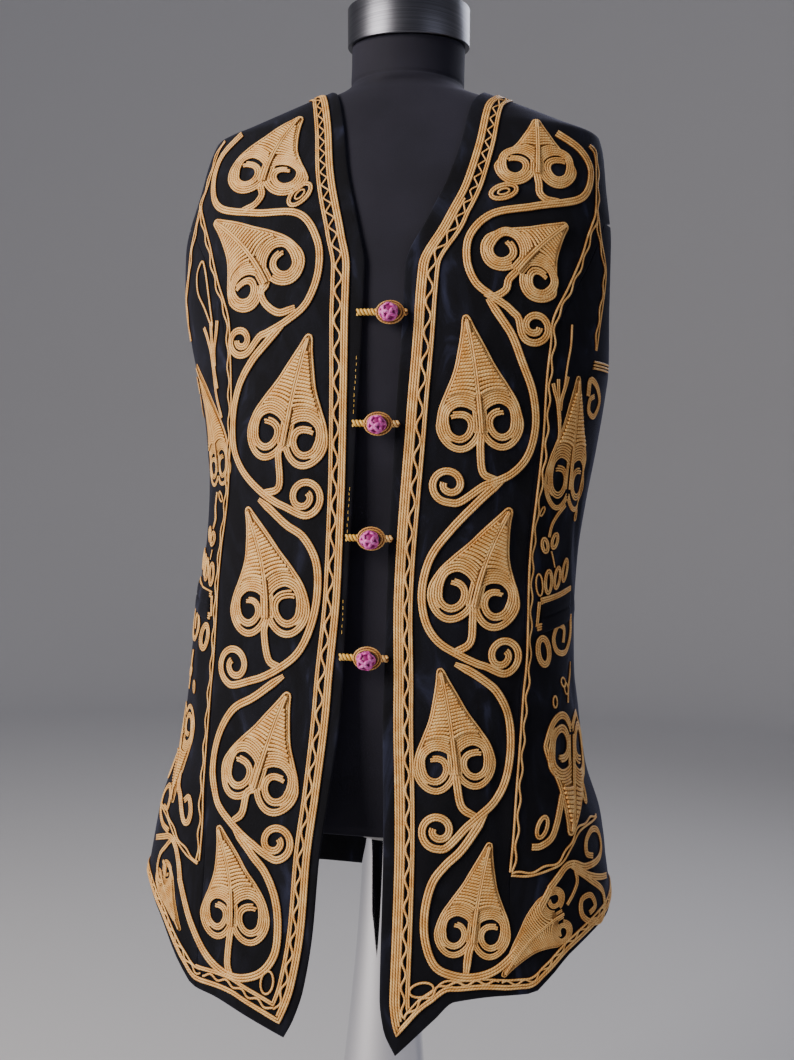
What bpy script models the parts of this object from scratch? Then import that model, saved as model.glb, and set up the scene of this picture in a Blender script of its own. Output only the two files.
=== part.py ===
"""Long open velvet vest with raised couched-cord embroidery, standing on a limbless dress form.

Metres, +Z up. The origin is the middle of the stand's underside. The vest's front faces -Y, so
+X is the wearer's left. Everything that lies on the cloth is placed by two measures: how far round
the cloth it is from centre front (the wearer's left is plus), and its height above the floor.
"""
import math

import bmesh
import bpy
import numpy as np

# Cloth, seams and needlework
WALL = 0.002
SEAM_GAP = 0.0003
CORD_LIFT = 0.0009
CORD_HEIGHT = 0.002
LEAF_CROWN = 0.0012
WIDE_BRAID = 0.0078
NARROW_BRAID = 0.0035
VINE_WIDTH = 0.0078
FRAME_WIDTH = 0.005
HEM_BRAID_RISE = 0.36
HEM_BRAID_MARGIN = 0.12
LAST_ROW = 25
ROWS = (0, 0.22, 0.45, 0.7, 1, 1.4, 2) + tuple(range(3, LAST_ROW + 1))
FRONT_COLUMNS = 7
SIDE_COLUMNS = 6
BACK_COLUMNS = 7
VEE_ROW = 6
NECK_ROW = 4
GORE_ROW = 3
ARM_ROW = 8
BAND_CROWN = 0.42
HEM_LEVEL = 0.48

# Heights that the pieces share
NECK_POINT = 1.235
SHOULDER_POINT = 1.189
GORE_TOP = 1.105
UNDERARM = 0.968
VEE_BOTTOM = 1.052
TORSO_BOTTOM = 0.564
NECK_TOP = 1.281

# Neck cap, flange and stand
NECK_RADIUS = 0.053
CAP_RADIUS = 0.057
CAP_HEIGHT = 0.035
CAP_BEVEL = 0.0025
CAP_TILT = math.radians(8)
FLANGE_RADIUS = 0.030
FLANGE_HEIGHT = 0.018
TOUCH = 0.0003

# Buttons and their loops
BALL_RADIUS = 0.0085
LOOP_CORD = 0.0014
LOOP_HALF_HEIGHT = 0.0048
LOOP_LIFT = 0.0004

# The cloth's horizontal section at each height: half width on the wearer's right and left,
# and how far its front and back stand from the middle
CLOTH_COLUMNS = ("height", "right", "left", "front", "back")
CLOTH = (
    (0.380, 0.238, 0.220, 0.148, 0.138),
    (0.430, 0.233, 0.214, 0.145, 0.134),
    (0.485, 0.227, 0.207, 0.141, 0.129),
    (0.530, 0.222, 0.201, 0.137, 0.124),
    (0.576, 0.215, 0.193, 0.133, 0.118),
    (0.623, 0.199, 0.178, 0.128, 0.110),
    (0.670, 0.193, 0.171, 0.124, 0.104),
    (0.717, 0.190, 0.167, 0.120, 0.098),
    (0.764, 0.185, 0.166, 0.117, 0.093),
    (0.811, 0.179, 0.168, 0.115, 0.090),
    (0.858, 0.177, 0.174, 0.116, 0.092),
    (0.905, 0.180, 0.182, 0.118, 0.096),
    (0.952, 0.187, 0.189, 0.121, 0.101),
    (0.999, 0.198, 0.194, 0.120, 0.105),
    (1.046, 0.206, 0.195, 0.115, 0.108),
    (1.084, 0.207, 0.195, 0.107, 0.108),
    (1.140, 0.195, 0.188, 0.092, 0.102),
    (1.189, 0.181, 0.179, 0.072, 0.084),
    (1.200, 0.155, 0.154, 0.068, 0.078),
    (1.213, 0.122, 0.122, 0.063, 0.071),
    (1.226, 0.087, 0.087, 0.058, 0.063),
    (1.235, 0.062, 0.062, 0.055, 0.057),
)
SQUARENESS = 2.3

# Soft flutes of the skirt: degrees round from centre front, half width in degrees, depth at the hem
FLUTES = (
    (-152, 15, 0.0050),
    (-110, 14, 0.0045),
    (-76, 11, 0.0035),
    (70, 11, 0.0045),
    (112, 14, 0.0050),
    (150, 15, 0.0055),
)
FLUTE_TOP = 0.60
FLUTE_BOTTOM = 0.46

# Room between the cloth's inside and the dress form, at the right, left, front and back
EASE_COLUMNS = ("height", "right", "left", "front", "back")
EASE = (
    (0.564, 0.064, 0.044, 0.044, 0.030),
    (0.590, 0.052, 0.032, 0.034, 0.022),
    (0.640, 0.036, 0.016, 0.022, 0.012),
    (0.700, 0.030, 0.009, 0.014, 0.006),
    (0.780, 0.032, 0.015, 0.013, 0.006),
    (0.840, 0.030, 0.025, 0.012, 0.007),
    (0.905, 0.024, 0.026, 0.008, 0.006),
    (0.975, 0.022, 0.022, 0.004, 0.004),
    (1.050, 0.034, 0.024, 0.0025, 0.003),
    (1.110, 0.028, 0.019, 0.0020, 0.0026),
    (1.165, 0.014, 0.012, 0.0018, 0.0042),
    (1.189, 0.005, 0.005, 0.0016, 0.0044),
    (1.200, 0.0018, 0.0018, 0.0016, 0.0024),
    (1.235, 0.0014, 0.0014, 0.0016, 0.0016),
)
FORM_HEIGHTS = (
    0.564, 0.600, 0.670, 0.750, 0.820, 0.890, 0.960, 1.030, 1.090, 1.140, 1.170, 1.189, 1.200, 1.213, 1.226,
    1.234,
)
FORM_SIDES = 36
FORM_FLAT_BELOW = 1.15

# Front edge of each front from the side of the neck to its tip: height, distance round from the middle
LEFT_EDGE = (
    (0.405, 0.0305), (0.424, 0.0205), (0.450, 0.0163), (0.556, 0.0151), (0.691, 0.0101), (0.802, 0.0100),
    (0.922, 0.0142), (1.005, 0.0178), (1.052, 0.0182), (1.097, 0.0359), (1.134, 0.0508), (1.168, 0.0593),
    (1.207, 0.0660), (1.222, 0.0760), (1.235, 0.0944),
)
RIGHT_EDGE = (
    (0.410, 0.0633), (0.424, 0.0560), (0.450, 0.0478), (0.498, 0.0415), (0.552, 0.0390), (0.606, 0.0330),
    (0.689, 0.0250), (0.801, 0.0230), (0.871, 0.0205), (1.022, 0.0156), (1.052, 0.0159), (1.084, 0.0226),
    (1.140, 0.0370), (1.200, 0.0500), (1.222, 0.0680), (1.235, 0.0944),
)
# Hem from the tip round to centre back: distance round from the middle, height
LEFT_HEM = (
    (0.0305, 0.405), (0.060, 0.434), (0.076, 0.448), (0.115, 0.452), (0.141, 0.452), (0.156, 0.461),
    (0.181, 0.479), (0.229, 0.497), (0.280, 0.503), (0.380, 0.486), (0.560, 0.476),
)
RIGHT_HEM = (
    (0.0633, 0.410), (0.094, 0.421), (0.127, 0.432), (0.150, 0.436), (0.166, 0.448), (0.206, 0.484),
    (0.250, 0.503), (0.300, 0.503), (0.400, 0.486), (0.590, 0.476),
)
# Seam between front and side gore: height, distance round from the middle
LEFT_SEAM = (
    (0.440, 0.1210), (0.553, 0.1210), (0.624, 0.1245), (0.654, 0.1262), (0.739, 0.1295), (0.807, 0.1295),
    (0.858, 0.1325), (0.905, 0.1385), (0.955, 0.1425), (1.000, 0.1500), (1.030, 0.1640), (1.065, 0.1840),
    (1.105, 0.2030),
)
RIGHT_SEAM = (
    (0.440, 0.1490), (0.536, 0.1490), (0.623, 0.1540), (0.693, 0.1560), (0.763, 0.1565), (0.835, 0.1510),
    (0.923, 0.1478), (0.984, 0.1478), (1.020, 0.1540), (1.060, 0.1720), (1.105, 0.2050),
)
# Armhole in degrees round from centre front, before and behind, and the seam under it
ARMHOLE_FRONT = (
    (0.968, 91.0), (0.976, 85.0), (1.000, 79.5), (1.035, 77.0), (1.080, 77.0), (1.130, 79.5), (1.172, 84.0),
    (1.189, 90.0),
)
ARMHOLE_BACK = (
    (0.968, 91.0), (0.976, 97.0), (1.000, 103.5), (1.035, 107.5), (1.080, 108.5), (1.130, 105.0),
    (1.168, 98.0), (1.189, 90.0),
)
SIDE_SEAM = ((0.450, 97.0), (0.600, 96.0), (0.750, 94.0), (0.968, 91.0))
BACK_NECK_DROP = 0.014

# How far the wide and the narrow braid run from a front's edge
BRAID_COLUMNS = ("height", "wide", "narrow")
LEFT_BRAID = (
    (0.420, 0.0125, 0.0220), (0.500, 0.0140, 0.0235), (0.600, 0.0145, 0.0240), (0.690, 0.0135, 0.0230),
    (0.770, 0.0110, 0.0200), (0.850, 0.0125, 0.0225), (0.940, 0.0140, 0.0245), (1.020, 0.0150, 0.0260),
    (1.100, 0.0180, 0.0290), (1.190, 0.0165, 0.0265),
)
RIGHT_BRAID = (
    (0.420, 0.0115, 0.0200), (0.500, 0.0105, 0.0190), (0.600, 0.0115, 0.0200), (0.690, 0.0130, 0.0225),
    (0.780, 0.0095, 0.0185), (0.860, 0.0105, 0.0195), (0.940, 0.0130, 0.0225), (1.020, 0.0160, 0.0265),
    (1.100, 0.0165, 0.0270), (1.190, 0.0145, 0.0235),
)
HEM_BRAID_OFFSET = 0.0085
HEM_BRAID_STEP = 0.016
HEM_BRAID_START = 0.012
BRAID_END = 0.004
CORNER_OUT = 1.15
CORNER_UP = 1.1
SHOULDER_LIMIT = 0.97
BRAID_STARTS = (1.2275, 1.2235, 1.219, 1.213, 1.206, 1.198, 1.189, 1.180, 1.170, 1.160, 1.148, 1.135, 1.121)
BRAID_STEP = 0.026
# Neck braid of the back: share of the way from the side of the neck to the nape, drop below the neckline
NECK_BRAID_DROP = ((0.04, 0.0074), (0.20, 0.0086), (0.45, 0.0105), (0.75, 0.0118), (1.0, 0.0120))
NECK_BRAID_STOPS = 9

# Large leaves: the tip, the end between the two volutes, and the half width, all on the cloth
LEAF_COLUMNS = ("name", "tip_round", "tip_height", "end_round", "end_height", "half_width")
LEAVES = (
    ("leaf_left_1", 0.1236, 1.190, 0.131, 1.129, 0.0390),
    ("leaf_left_2", 0.1570, 1.097, 0.106, 1.044, 0.0350),
    ("leaf_left_3", 0.0700, 1.009, 0.087, 0.887, 0.0390),
    ("leaf_left_4", 0.1135, 0.851, 0.085, 0.750, 0.0370),
    ("leaf_left_5", 0.0570, 0.716, 0.0755, 0.612, 0.0335),
    ("leaf_left_6", 0.1020, 0.575, 0.0875, 0.4800, 0.0305),
    ("leaf_right_1", -0.0860, 1.196, -0.116, 1.122, 0.0430),
    ("leaf_right_2", -0.1660, 1.102, -0.090, 1.032, 0.0350),
    ("leaf_right_3", -0.0630, 0.993, -0.0870, 0.885, 0.0390),
    ("leaf_right_4", -0.1218, 0.847, -0.096, 0.737, 0.0405),
    ("leaf_right_5", -0.0718, 0.690, -0.100, 0.593, 0.0365),
    ("leaf_right_6", -0.1320, 0.573, -0.1125, 0.4765, 0.0325),
)
# Smaller leaves of the side gores, the same measures
SIDE_LEAVES = (
    ("gore_leaf_left_upper", 0.1850, 0.962, 0.1850, 0.856, 0.0230),
    ("gore_leaf_left_lower", 0.1850, 0.585, 0.1850, 0.672, 0.0250),
    ("gore_leaf_left_hem", 0.1240, 0.472, 0.1780, 0.513, 0.0125),
    ("gore_leaf_right_upper", -0.2000, 0.962, -0.2000, 0.856, 0.0230),
    ("gore_leaf_right_lower", -0.2060, 0.578, -0.2060, 0.672, 0.0250),
    ("gore_leaf_right_hem", -0.1705, 0.477, -0.2105, 0.527, 0.0105),
)
LEAF_STATIONS = (0.0, 0.18, 0.42, 0.66, 0.88, 1.0)
LEAF_PROFILE = (
    (0.0, 0.88), (0.08, 0.98), (0.18, 1.0), (0.36, 0.90), (0.56, 0.66), (0.76, 0.36), (0.92, 0.12),
    (1.0, 0.03),
)
LOBE_NOTCH = 0.10
LOBE_CORNER = 0.09

# Vines: points along each stem, then the curl that ends it: middle, radius and the way it turns
VINES = (
    ("vine_left_1", (
        (0.143, 1.180), (0.169, 1.166), (0.181, 1.147), (0.170, 1.121), (0.126, 1.108), (0.090, 1.099),
        (0.072, 1.080), (0.070, 1.057), (0.078, 1.038), (0.092, 1.027), (0.106, 1.018), (0.1185, 1.006),
    ), (0.130, 1.003), 0.0115, 1),
    ("vine_left_3", (
        (0.097, 1.008), (0.108, 0.993), (0.120, 0.972), (0.130, 0.948), (0.1335, 0.922), (0.128, 0.897),
        (0.115, 0.881), (0.098, 0.872), (0.080, 0.865),
    ), (0.060, 0.869), 0.0125, -1),
    ("vine_left_4", (
        (0.083, 0.853), (0.063, 0.832), (0.046, 0.808), (0.0395, 0.780), (0.043, 0.755), (0.054, 0.738),
        (0.072, 0.727), (0.090, 0.719), (0.100, 0.7165),
    ), (0.110, 0.7265), 0.0125, 1),
    ("vine_left_5", (
        (0.094, 0.706), (0.106, 0.696), (0.117, 0.676), (0.1195, 0.652), (0.116, 0.626), (0.107, 0.608),
        (0.091, 0.594), (0.075, 0.580),
    ), (0.0595, 0.584), 0.0120, -1),
    ("vine_left_6", (
        (0.0760, 0.5590), (0.0640, 0.5530), (0.0555, 0.541), (0.0510, 0.520), (0.0520, 0.497),
        (0.0600, 0.4775), (0.0740, 0.4700), (0.0920, 0.4680), (0.1110, 0.4735), (0.1285, 0.4885),
        (0.1420, 0.510), (0.1580, 0.534),
    ), None, 0, 0),
    ("vine_right_1", (
        (-0.147, 1.188), (-0.171, 1.167), (-0.176, 1.140), (-0.161, 1.115), (-0.120, 1.105),
        (-0.078, 1.101), (-0.059, 1.076), (-0.056, 1.048), (-0.065, 1.021), (-0.081, 1.007),
        (-0.098, 0.998), (-0.115, 0.991),
    ), (-0.129, 0.991), 0.0105, -1),
    ("vine_right_3", (
        (-0.099, 0.983), (-0.116, 0.972), (-0.131, 0.952), (-0.139, 0.925), (-0.138, 0.898),
        (-0.127, 0.878), (-0.106, 0.860), (-0.086, 0.849), (-0.0750, 0.846),
    ), (-0.064, 0.856), 0.0130, 1),
    ("vine_right_4", (
        (-0.080, 0.832), (-0.064, 0.822), (-0.052, 0.802), (-0.0495, 0.776), (-0.054, 0.748),
        (-0.065, 0.724), (-0.083, 0.709), (-0.103, 0.699), (-0.116, 0.697),
    ), (-0.128, 0.709), 0.0140, -1),
    ("vine_right_5", (
        (-0.106, 0.683), (-0.127, 0.671), (-0.142, 0.647), (-0.1465, 0.618), (-0.139, 0.594),
        (-0.121, 0.577), (-0.102, 0.564), (-0.088, 0.558),
    ), (-0.0775, 0.566), 0.0120, 1),
    ("vine_right_6", (
        (-0.105, 0.549), (-0.089, 0.540), (-0.077, 0.521), (-0.0715, 0.498), (-0.074, 0.474),
        (-0.088, 0.457), (-0.112, 0.452), (-0.136, 0.462), (-0.1585, 0.488), (-0.176, 0.521),
    ), None, 0, 0),
)
CURL_SWEEP = math.radians(285)
CURL_END = 0.62
VINE_STEP = 0.017

# Cord frames of the side gores, from the shoulder down the seam, round the corner and along
FRAMES = (
    ("gore_frame_left", (
        (0.184, 1.170), (0.192, 1.130), (0.190, 1.085), (0.173, 1.040), (0.156, 1.003), (0.1475, 0.960),
        (0.1435, 0.910), (0.1375, 0.858), (0.1340, 0.807), (0.1340, 0.740), (0.1305, 0.670),
        (0.1285, 0.620), (0.1260, 0.572), (0.129, 0.5585), (0.152, 0.5575), (0.176, 0.566), (0.217, 0.585),
    )),
    ("gore_frame_right", (
        (-0.1840, 1.170), (-0.1890, 1.142), (-0.190, 1.112), (-0.179, 1.078), (-0.164, 1.040),
        (-0.153, 1.005), (-0.1520, 0.960), (-0.1520, 0.920), (-0.1560, 0.850), (-0.1600, 0.790),
        (-0.1605, 0.740), (-0.1600, 0.690), (-0.1585, 0.640), (-0.1560, 0.590), (-0.1530, 0.552),
        (-0.156, 0.5390), (-0.178, 0.550), (-0.200, 0.560), (-0.230, 0.575),
    )),
)
FRAME_STEP = 0.022
# Welt pockets of the side gores: middle and size on the cloth, and the slope of the slit
POCKETS = (
    ("pocket_left", 0.170, 0.762, 0.046, 0.026, math.radians(12)),
    ("pocket_right", -0.190, 0.762, 0.046, 0.026, math.radians(-12)),
)
# Buttons down the centre front: place of the ball, ends of its loop
BUTTONS = (
    ("1", 0.008, 1.010, -0.0200, 0.0220),
    ("2", 0.000, 0.917, -0.0215, 0.0175),
    ("3", -0.004, 0.821, -0.0255, 0.0135),
    ("4", -0.004, 0.721, -0.0275, 0.0130),
)
# Stand's turned profile, from its neck down to the floor
STAND_PROFILE = (
    (0.0245, 0.5454), (0.0250, 0.520), (0.0275, 0.460), (0.0325, 0.390), (0.0400, 0.310), (0.0500, 0.230),
    (0.0640, 0.155), (0.0840, 0.092), (0.1100, 0.046), (0.1380, 0.019), (0.1540, 0.010), (0.1580, 0.006),
    (0.1580, 0.000),
)
STAND_SIDES = 28

VELVET = ("#0d0d16", 0.9, 0.0)
GOLD_CORD = ("#d2a86a", 0.5, 0.0)
JERSEY = ("#23222f", 0.85, 0.0)
SATIN_STEEL = ("#595a66", 0.35, 1.0)
PALE_ENAMEL = ("#c9c9cc", 0.5, 0.0)
CHROME = ("#d8d8dc", 0.08, 1.0)
MAGENTA_CORD = ("#c23496", 0.6, 0.0)
LOOP_GOLD = ("#d3a640", 0.5, 0.0)


def column(table, names, name):
    """One named column of a table, against the table's first column."""
    at = names.index(name)
    return [(row[0], row[at]) for row in table]


def between(top, bottom, share):
    return top + (bottom - top) * share


def curve_through(knots):
    """A smooth function of one measure that passes through its knots and never overshoots them."""
    at = [knot[0] for knot in knots]
    value = [knot[1] for knot in knots]
    slope = [(value[i + 1] - value[i]) / (at[i + 1] - at[i]) for i in range(len(at) - 1)]
    tangent = [slope[0]]
    for before, after in zip(slope, slope[1:]):
        tangent.append(2 * before * after / (before + after) if before * after > 0 else 0.0)
    tangent.append(slope[-1])

    def curve(x):
        if x <= at[0]:
            return value[0] + tangent[0] * (x - at[0])
        if x >= at[-1]:
            return value[-1] + tangent[-1] * (x - at[-1])
        i = int(np.searchsorted(at, x)) - 1
        width = at[i + 1] - at[i]
        t = (x - at[i]) / width
        rise = value[i] * (1 + 2 * t) * (1 - t) ** 2 + value[i + 1] * t * t * (3 - 2 * t)
        lean = tangent[i] * t * (1 - t) ** 2 + tangent[i + 1] * t * t * (t - 1)
        return rise + width * lean

    return curve


SECTION = {name: curve_through(column(CLOTH, CLOTH_COLUMNS, name)) for name in CLOTH_COLUMNS[1:]}
ROOM = {name: curve_through(column(EASE, EASE_COLUMNS, name)) for name in EASE_COLUMNS[1:]}
QUARTER = math.pi / 2
FINE_TURNS = np.linspace(0, math.pi, 181)


def wrapped(turn):
    return turn - math.tau if turn > math.pi else turn


def body_section(turn, height):
    """The plain section's point at a turn in radians: minus on the wearer's right."""
    turn = wrapped(turn)
    half = SECTION["right" if turn < 0 else "left"](height)
    depth = -SECTION["front"](height) if abs(turn) < QUARTER else SECTION["back"](height)
    power = 2 / SQUARENESS
    across = math.copysign(half * abs(math.sin(turn)) ** power, turn)
    return np.array([across, depth * abs(math.cos(turn)) ** power, height])


def section_normal(turn, height):
    """Unit normal of the plain surface, pointing away from the wearer."""
    step = 0.01
    turn = wrapped(turn)
    turn = math.copysign(min(max(abs(turn), step + 0.001), math.pi - step - 0.001), turn)
    low = max(min(height, NECK_POINT - 0.0005) - 0.001, 0.38)
    side = body_section(turn + step, height) - body_section(turn - step, height)
    up = body_section(turn, low + 0.002) - body_section(turn, low)
    normal = np.cross(side, up)
    return normal / np.linalg.norm(normal)


def flute(turn, height):
    """How far a flute of the skirt carries the cloth outwards."""
    low = min(max((FLUTE_TOP - height) / (FLUTE_TOP - FLUTE_BOTTOM), 0.0), 1.0)
    degrees = math.degrees(wrapped(turn))
    return low * low * sum(d * math.exp(-(((degrees - at) / w) ** 2)) for at, w, d in FLUTES)


def cloth(turn, height, out=0.0):
    """A point of the cloth's outer face, or that far outside it."""
    return body_section(turn, height) + section_normal(turn, height) * (out + flute(turn, height))


def way_round(turn, height):
    """Distance round the plain section from centre front to a turn."""
    ring = ring_measure(height, turn < 0)
    return math.copysign(float(np.interp(abs(turn), FINE_TURNS, ring)), turn)


def ring_measure(height, right):
    half = SECTION["right" if right else "left"](height)
    power = 2 / SQUARENESS
    depth = np.where(FINE_TURNS < QUARTER, -SECTION["front"](height), SECTION["back"](height))
    x = half * np.abs(np.sin(FINE_TURNS)) ** power
    y = depth * np.abs(np.cos(FINE_TURNS)) ** power
    return np.concatenate([[0], np.cumsum(np.hypot(np.diff(x), np.diff(y)))])


def turn_at(way, height):
    """The turn that lies a distance round from centre front."""
    ring = ring_measure(height, way < 0)
    return math.copysign(float(np.interp(abs(way), ring, FINE_TURNS)), way)


def on_cloth(way, height, out=0.0):
    return cloth(turn_at(way, height), height, out)


def colour(hex_code):
    """An sRGB hex colour as the linear one that a shader takes."""
    parts = [int(hex_code[i:i + 2], 16) / 255 for i in (1, 3, 5)]
    return [c / 12.92 if c <= 0.04045 else ((c + 0.055) / 1.055) ** 2.4 for c in parts] + [1.0]


def finish(thing, look):
    hex_code, roughness, metallic = look
    material = bpy.data.materials.new(thing.name)
    material.use_nodes = True
    shader = material.node_tree.nodes["Principled BSDF"]
    shader.inputs["Base Color"].default_value = colour(hex_code)
    shader.inputs["Roughness"].default_value = roughness
    shader.inputs["Metallic"].default_value = metallic
    thing.data.materials.append(material)


def add_mesh(name, points, faces, look):
    mesh = bpy.data.meshes.new(name)
    mesh.from_pydata([tuple(map(float, p)) for p in points], [], faces)
    work = bmesh.new()
    work.from_mesh(mesh)
    bmesh.ops.triangulate(work, faces=work.faces)
    bmesh.ops.recalc_face_normals(work, faces=work.faces)
    work.to_mesh(mesh)
    work.free()
    mesh.shade_smooth()
    mesh.set_sharp_from_angle(angle=math.radians(40))
    thing = bpy.data.objects.new(name, mesh)
    bpy.context.scene.collection.objects.link(thing)
    finish(thing, look)


def grid_faces(rows, across):
    """Quads between rows of points, each row holding that many points."""
    corners = [r * across + c for r in range(rows - 1) for c in range(across - 1)]
    return [(a, a + 1, a + across + 1, a + across) for a in corners]


def add_wall(name, outer, inner, faces, look):
    """A closed wall: the same faces on the outer and the inner points, joined all round the rim."""
    count = len(outer)
    edges = [edge for face in faces for edge in zip(face, face[1:] + face[:1])]
    inward = {(b, a) for a, b in edges}
    rim = [edge for edge in edges if edge not in inward]
    walls = [tuple(count + i for i in reversed(face)) for face in faces]
    walls += [(b, a, count + a, count + b) for a, b in rim]
    add_mesh(name, outer + inner, faces + walls, look)


def add_tube(name, rings, look):
    """A closed solid through rings of points, capped flat at both ends."""
    sides = len(rings[0])
    points = [p for ring in rings for p in ring]
    faces = [tuple(range(sides)), tuple(reversed(range(len(points) - sides, len(points))))]
    for r in range(len(rings) - 1):
        for s in range(sides):
            a = r * sides + s
            b = r * sides + (s + 1) % sides
            faces.append((a, a + sides, b + sides, b))
    add_mesh(name, points, faces, look)


def shifted(turn, height, distance):
    """A turn moved that far round the cloth, for the gap at a seam."""
    if abs(abs(turn) - QUARTER) < 1e-6:
        depth = SECTION["front" if distance * turn < 0 else "back"](height)
        lean = (abs(distance) / depth) ** (SQUARENESS / 2)
        return turn + math.copysign(lean, distance)
    return turn_at(way_round(turn, height) + distance, height)


def panel_places(first_line, last_line, columns, hem_at):
    """Rows of (turn, height) between two lines, the lowest rows drawn down to the hem."""
    rows = []
    foot_turn, foot_height = first_line[-1]
    end_turn, end_height = last_line[-1]
    for r, (start, end) in enumerate(zip(first_line, last_line)):
        row = []
        for c in range(columns + 1):
            share = c / columns
            foot = foot_height + (end_height - foot_height) * share
            drop = hem_at(foot_turn + (end_turn - foot_turn) * share) - foot
            height = start[1] + (end[1] - start[1]) * share + drop * (r / (len(first_line) - 1)) ** 5
            row.append((start[0] + (end[0] - start[0]) * share, height))
        rows.append(row)
    return rows


def add_panel(name, places, faces):
    flat = [place for row in places for place in row]
    outer = [cloth(*place) for place in flat]
    inner = [cloth(*place, -WALL) for place in flat]
    add_wall(name, outer, inner, faces, VELVET)


class Side:
    """Everything that a front, a gore and half the back share on one side of the wearer."""

    def __init__(self, name, sign, edge, hem, seam, braid):
        self.name = name
        self.sign = sign
        self.edge = curve_through(edge)
        self.hem = curve_through(hem)
        self.seam = curve_through(seam)
        self.braid = {n: curve_through(column(braid, BRAID_COLUMNS, n)) for n in BRAID_COLUMNS[1:]}
        self.arm_front = curve_through([(z, math.radians(t)) for z, t in ARMHOLE_FRONT])
        self.arm_back = curve_through([(z, math.radians(t)) for z, t in ARMHOLE_BACK])
        self.under = curve_through([(z, math.radians(t)) for z, t in SIDE_SEAM])
        self.tip = edge[0][0]
        self.front_foot = self.hem(self.seam(HEM_LEVEL))
        self.side_foot = self.hem(way_round(self.under(HEM_LEVEL), HEM_LEVEL))

    def edge_place(self, row):
        """Front edge at a row, from the side of the neck down to the tip."""
        if row == 0:
            return self.sign * shifted(QUARTER, NECK_POINT, -SEAM_GAP / 2), NECK_POINT
        if row <= VEE_ROW:
            height = between(NECK_POINT, VEE_BOTTOM, row / VEE_ROW)
        else:
            height = between(VEE_BOTTOM, self.tip, (row - VEE_ROW) / (LAST_ROW - VEE_ROW))
        return turn_at(self.sign * self.edge(height), height), height

    def front_seam_place(self, row, gap):
        """Armhole down to the gore's top, then the seam between front and gore."""
        if row == 0:
            return self.sign * shifted(QUARTER, SHOULDER_POINT, -SEAM_GAP / 2), SHOULDER_POINT
        if row < GORE_ROW:
            height = between(SHOULDER_POINT, GORE_TOP, row / GORE_ROW)
            return self.sign * self.arm_front(height), height
        height = between(GORE_TOP, self.front_foot, (row - GORE_ROW) / (LAST_ROW - GORE_ROW))
        return turn_at(self.sign * (self.seam(height) + gap), height), height

    def side_seam_place(self, row, gap):
        """Back of the armhole down to the underarm, then the side seam."""
        if row == 0:
            return self.sign * shifted(QUARTER, SHOULDER_POINT, SEAM_GAP / 2), SHOULDER_POINT
        if row < ARM_ROW:
            height = between(SHOULDER_POINT, UNDERARM, row / ARM_ROW)
            return self.sign * self.arm_back(height), height
        height = between(UNDERARM, self.side_foot, (row - ARM_ROW) / (LAST_ROW - ARM_ROW))
        return self.sign * shifted(self.under(height), height, gap), height

    def gore_back_place(self, row, gap):
        """Front of the armhole from the gore's top to the underarm, then the side seam."""
        if row < ARM_ROW:
            height = between(GORE_TOP, UNDERARM, (row - GORE_ROW) / (ARM_ROW - GORE_ROW))
            return self.sign * self.arm_front(height), height
        return self.side_seam_place(row, gap)

    def middle_back_place(self, row):
        """Back neckline from the side of the neck to the nape, then straight down the middle."""
        nape = NECK_POINT - BACK_NECK_DROP
        if row == 0:
            return self.sign * shifted(QUARTER, NECK_POINT, SEAM_GAP / 2), NECK_POINT
        if row < NECK_ROW:
            share = row / NECK_ROW
            fall = BACK_NECK_DROP * math.sin(QUARTER * share)
            return self.sign * (QUARTER + (math.pi - QUARTER) * share), NECK_POINT - fall
        foot = self.hem(way_round(math.pi, HEM_LEVEL))
        return self.sign * math.pi, between(nape, foot, (row - NECK_ROW) / (LAST_ROW - NECK_ROW))

    def hem_at(self, turn):
        return self.hem(abs(way_round(turn, HEM_LEVEL)))

    def front(self):
        edge = [self.edge_place(row) for row in ROWS]
        seam = [self.front_seam_place(row, -SEAM_GAP / 2) for row in ROWS]
        places = panel_places(edge, seam, FRONT_COLUMNS, self.hem_at)
        add_panel("front_" + self.name, places, grid_faces(len(places), FRONT_COLUMNS + 1))

    def gore(self):
        rows = [row for row in ROWS if row >= GORE_ROW]
        seam = [self.front_seam_place(row, SEAM_GAP / 2) for row in rows]
        back = [self.gore_back_place(row, -SEAM_GAP / 2) for row in rows]
        places = panel_places(seam, back, SIDE_COLUMNS, self.hem_at)
        add_panel("gore_" + self.name, places, grid_faces(len(places), SIDE_COLUMNS + 1))
        add_hem_braid("hem_braid_" + self.name, places)

    def half_back(self):
        """Rows of the back from this side's armhole and seam to the middle of the back."""
        side = [self.side_seam_place(row, SEAM_GAP / 2) for row in ROWS]
        middle = [self.middle_back_place(row) for row in ROWS]
        return panel_places(side, middle, BACK_COLUMNS, self.hem_at)

    def braid_path(self, kind, round_the_tip):
        """A braid down the front edge; the wide one turns at the tip and follows the hem to the seam."""
        offset = self.braid[kind]
        corner = self.corner(offset)
        heights = list(BRAID_STARTS if round_the_tip else BRAID_STARTS[1:])
        while heights[-1] - BRAID_STEP > corner[1] + 0.4 * BRAID_STEP:
            heights.append(heights[-1] - BRAID_STEP)
        path = []
        for height in heights:
            lean = (self.edge(height + 0.004) - self.edge(height - 0.004)) / 0.008
            way = self.edge(height) + offset(height) * math.hypot(1, lean)
            path.append((self.sign * min(way, SHOULDER_LIMIT * way_round(QUARTER, height)), height))
        if not round_the_tip:
            return path
        path.append((self.sign * corner[0], corner[1]))
        way = corner[0] + HEM_BRAID_START
        while way < self.seam(HEM_LEVEL) - BRAID_END:
            path.append((self.sign * way, self.hem(way) + HEM_BRAID_OFFSET))
            way += HEM_BRAID_STEP
        return path

    def corner(self, offset):
        """Where the braid beside the edge meets the braid above the hem, near the tip."""
        height = self.tip
        for _ in range(40):
            way = self.edge(height) + offset(height) * CORNER_OUT
            height = between(height, self.hem(way) + HEM_BRAID_OFFSET * CORNER_UP, 0.5)
        return way, height


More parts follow.
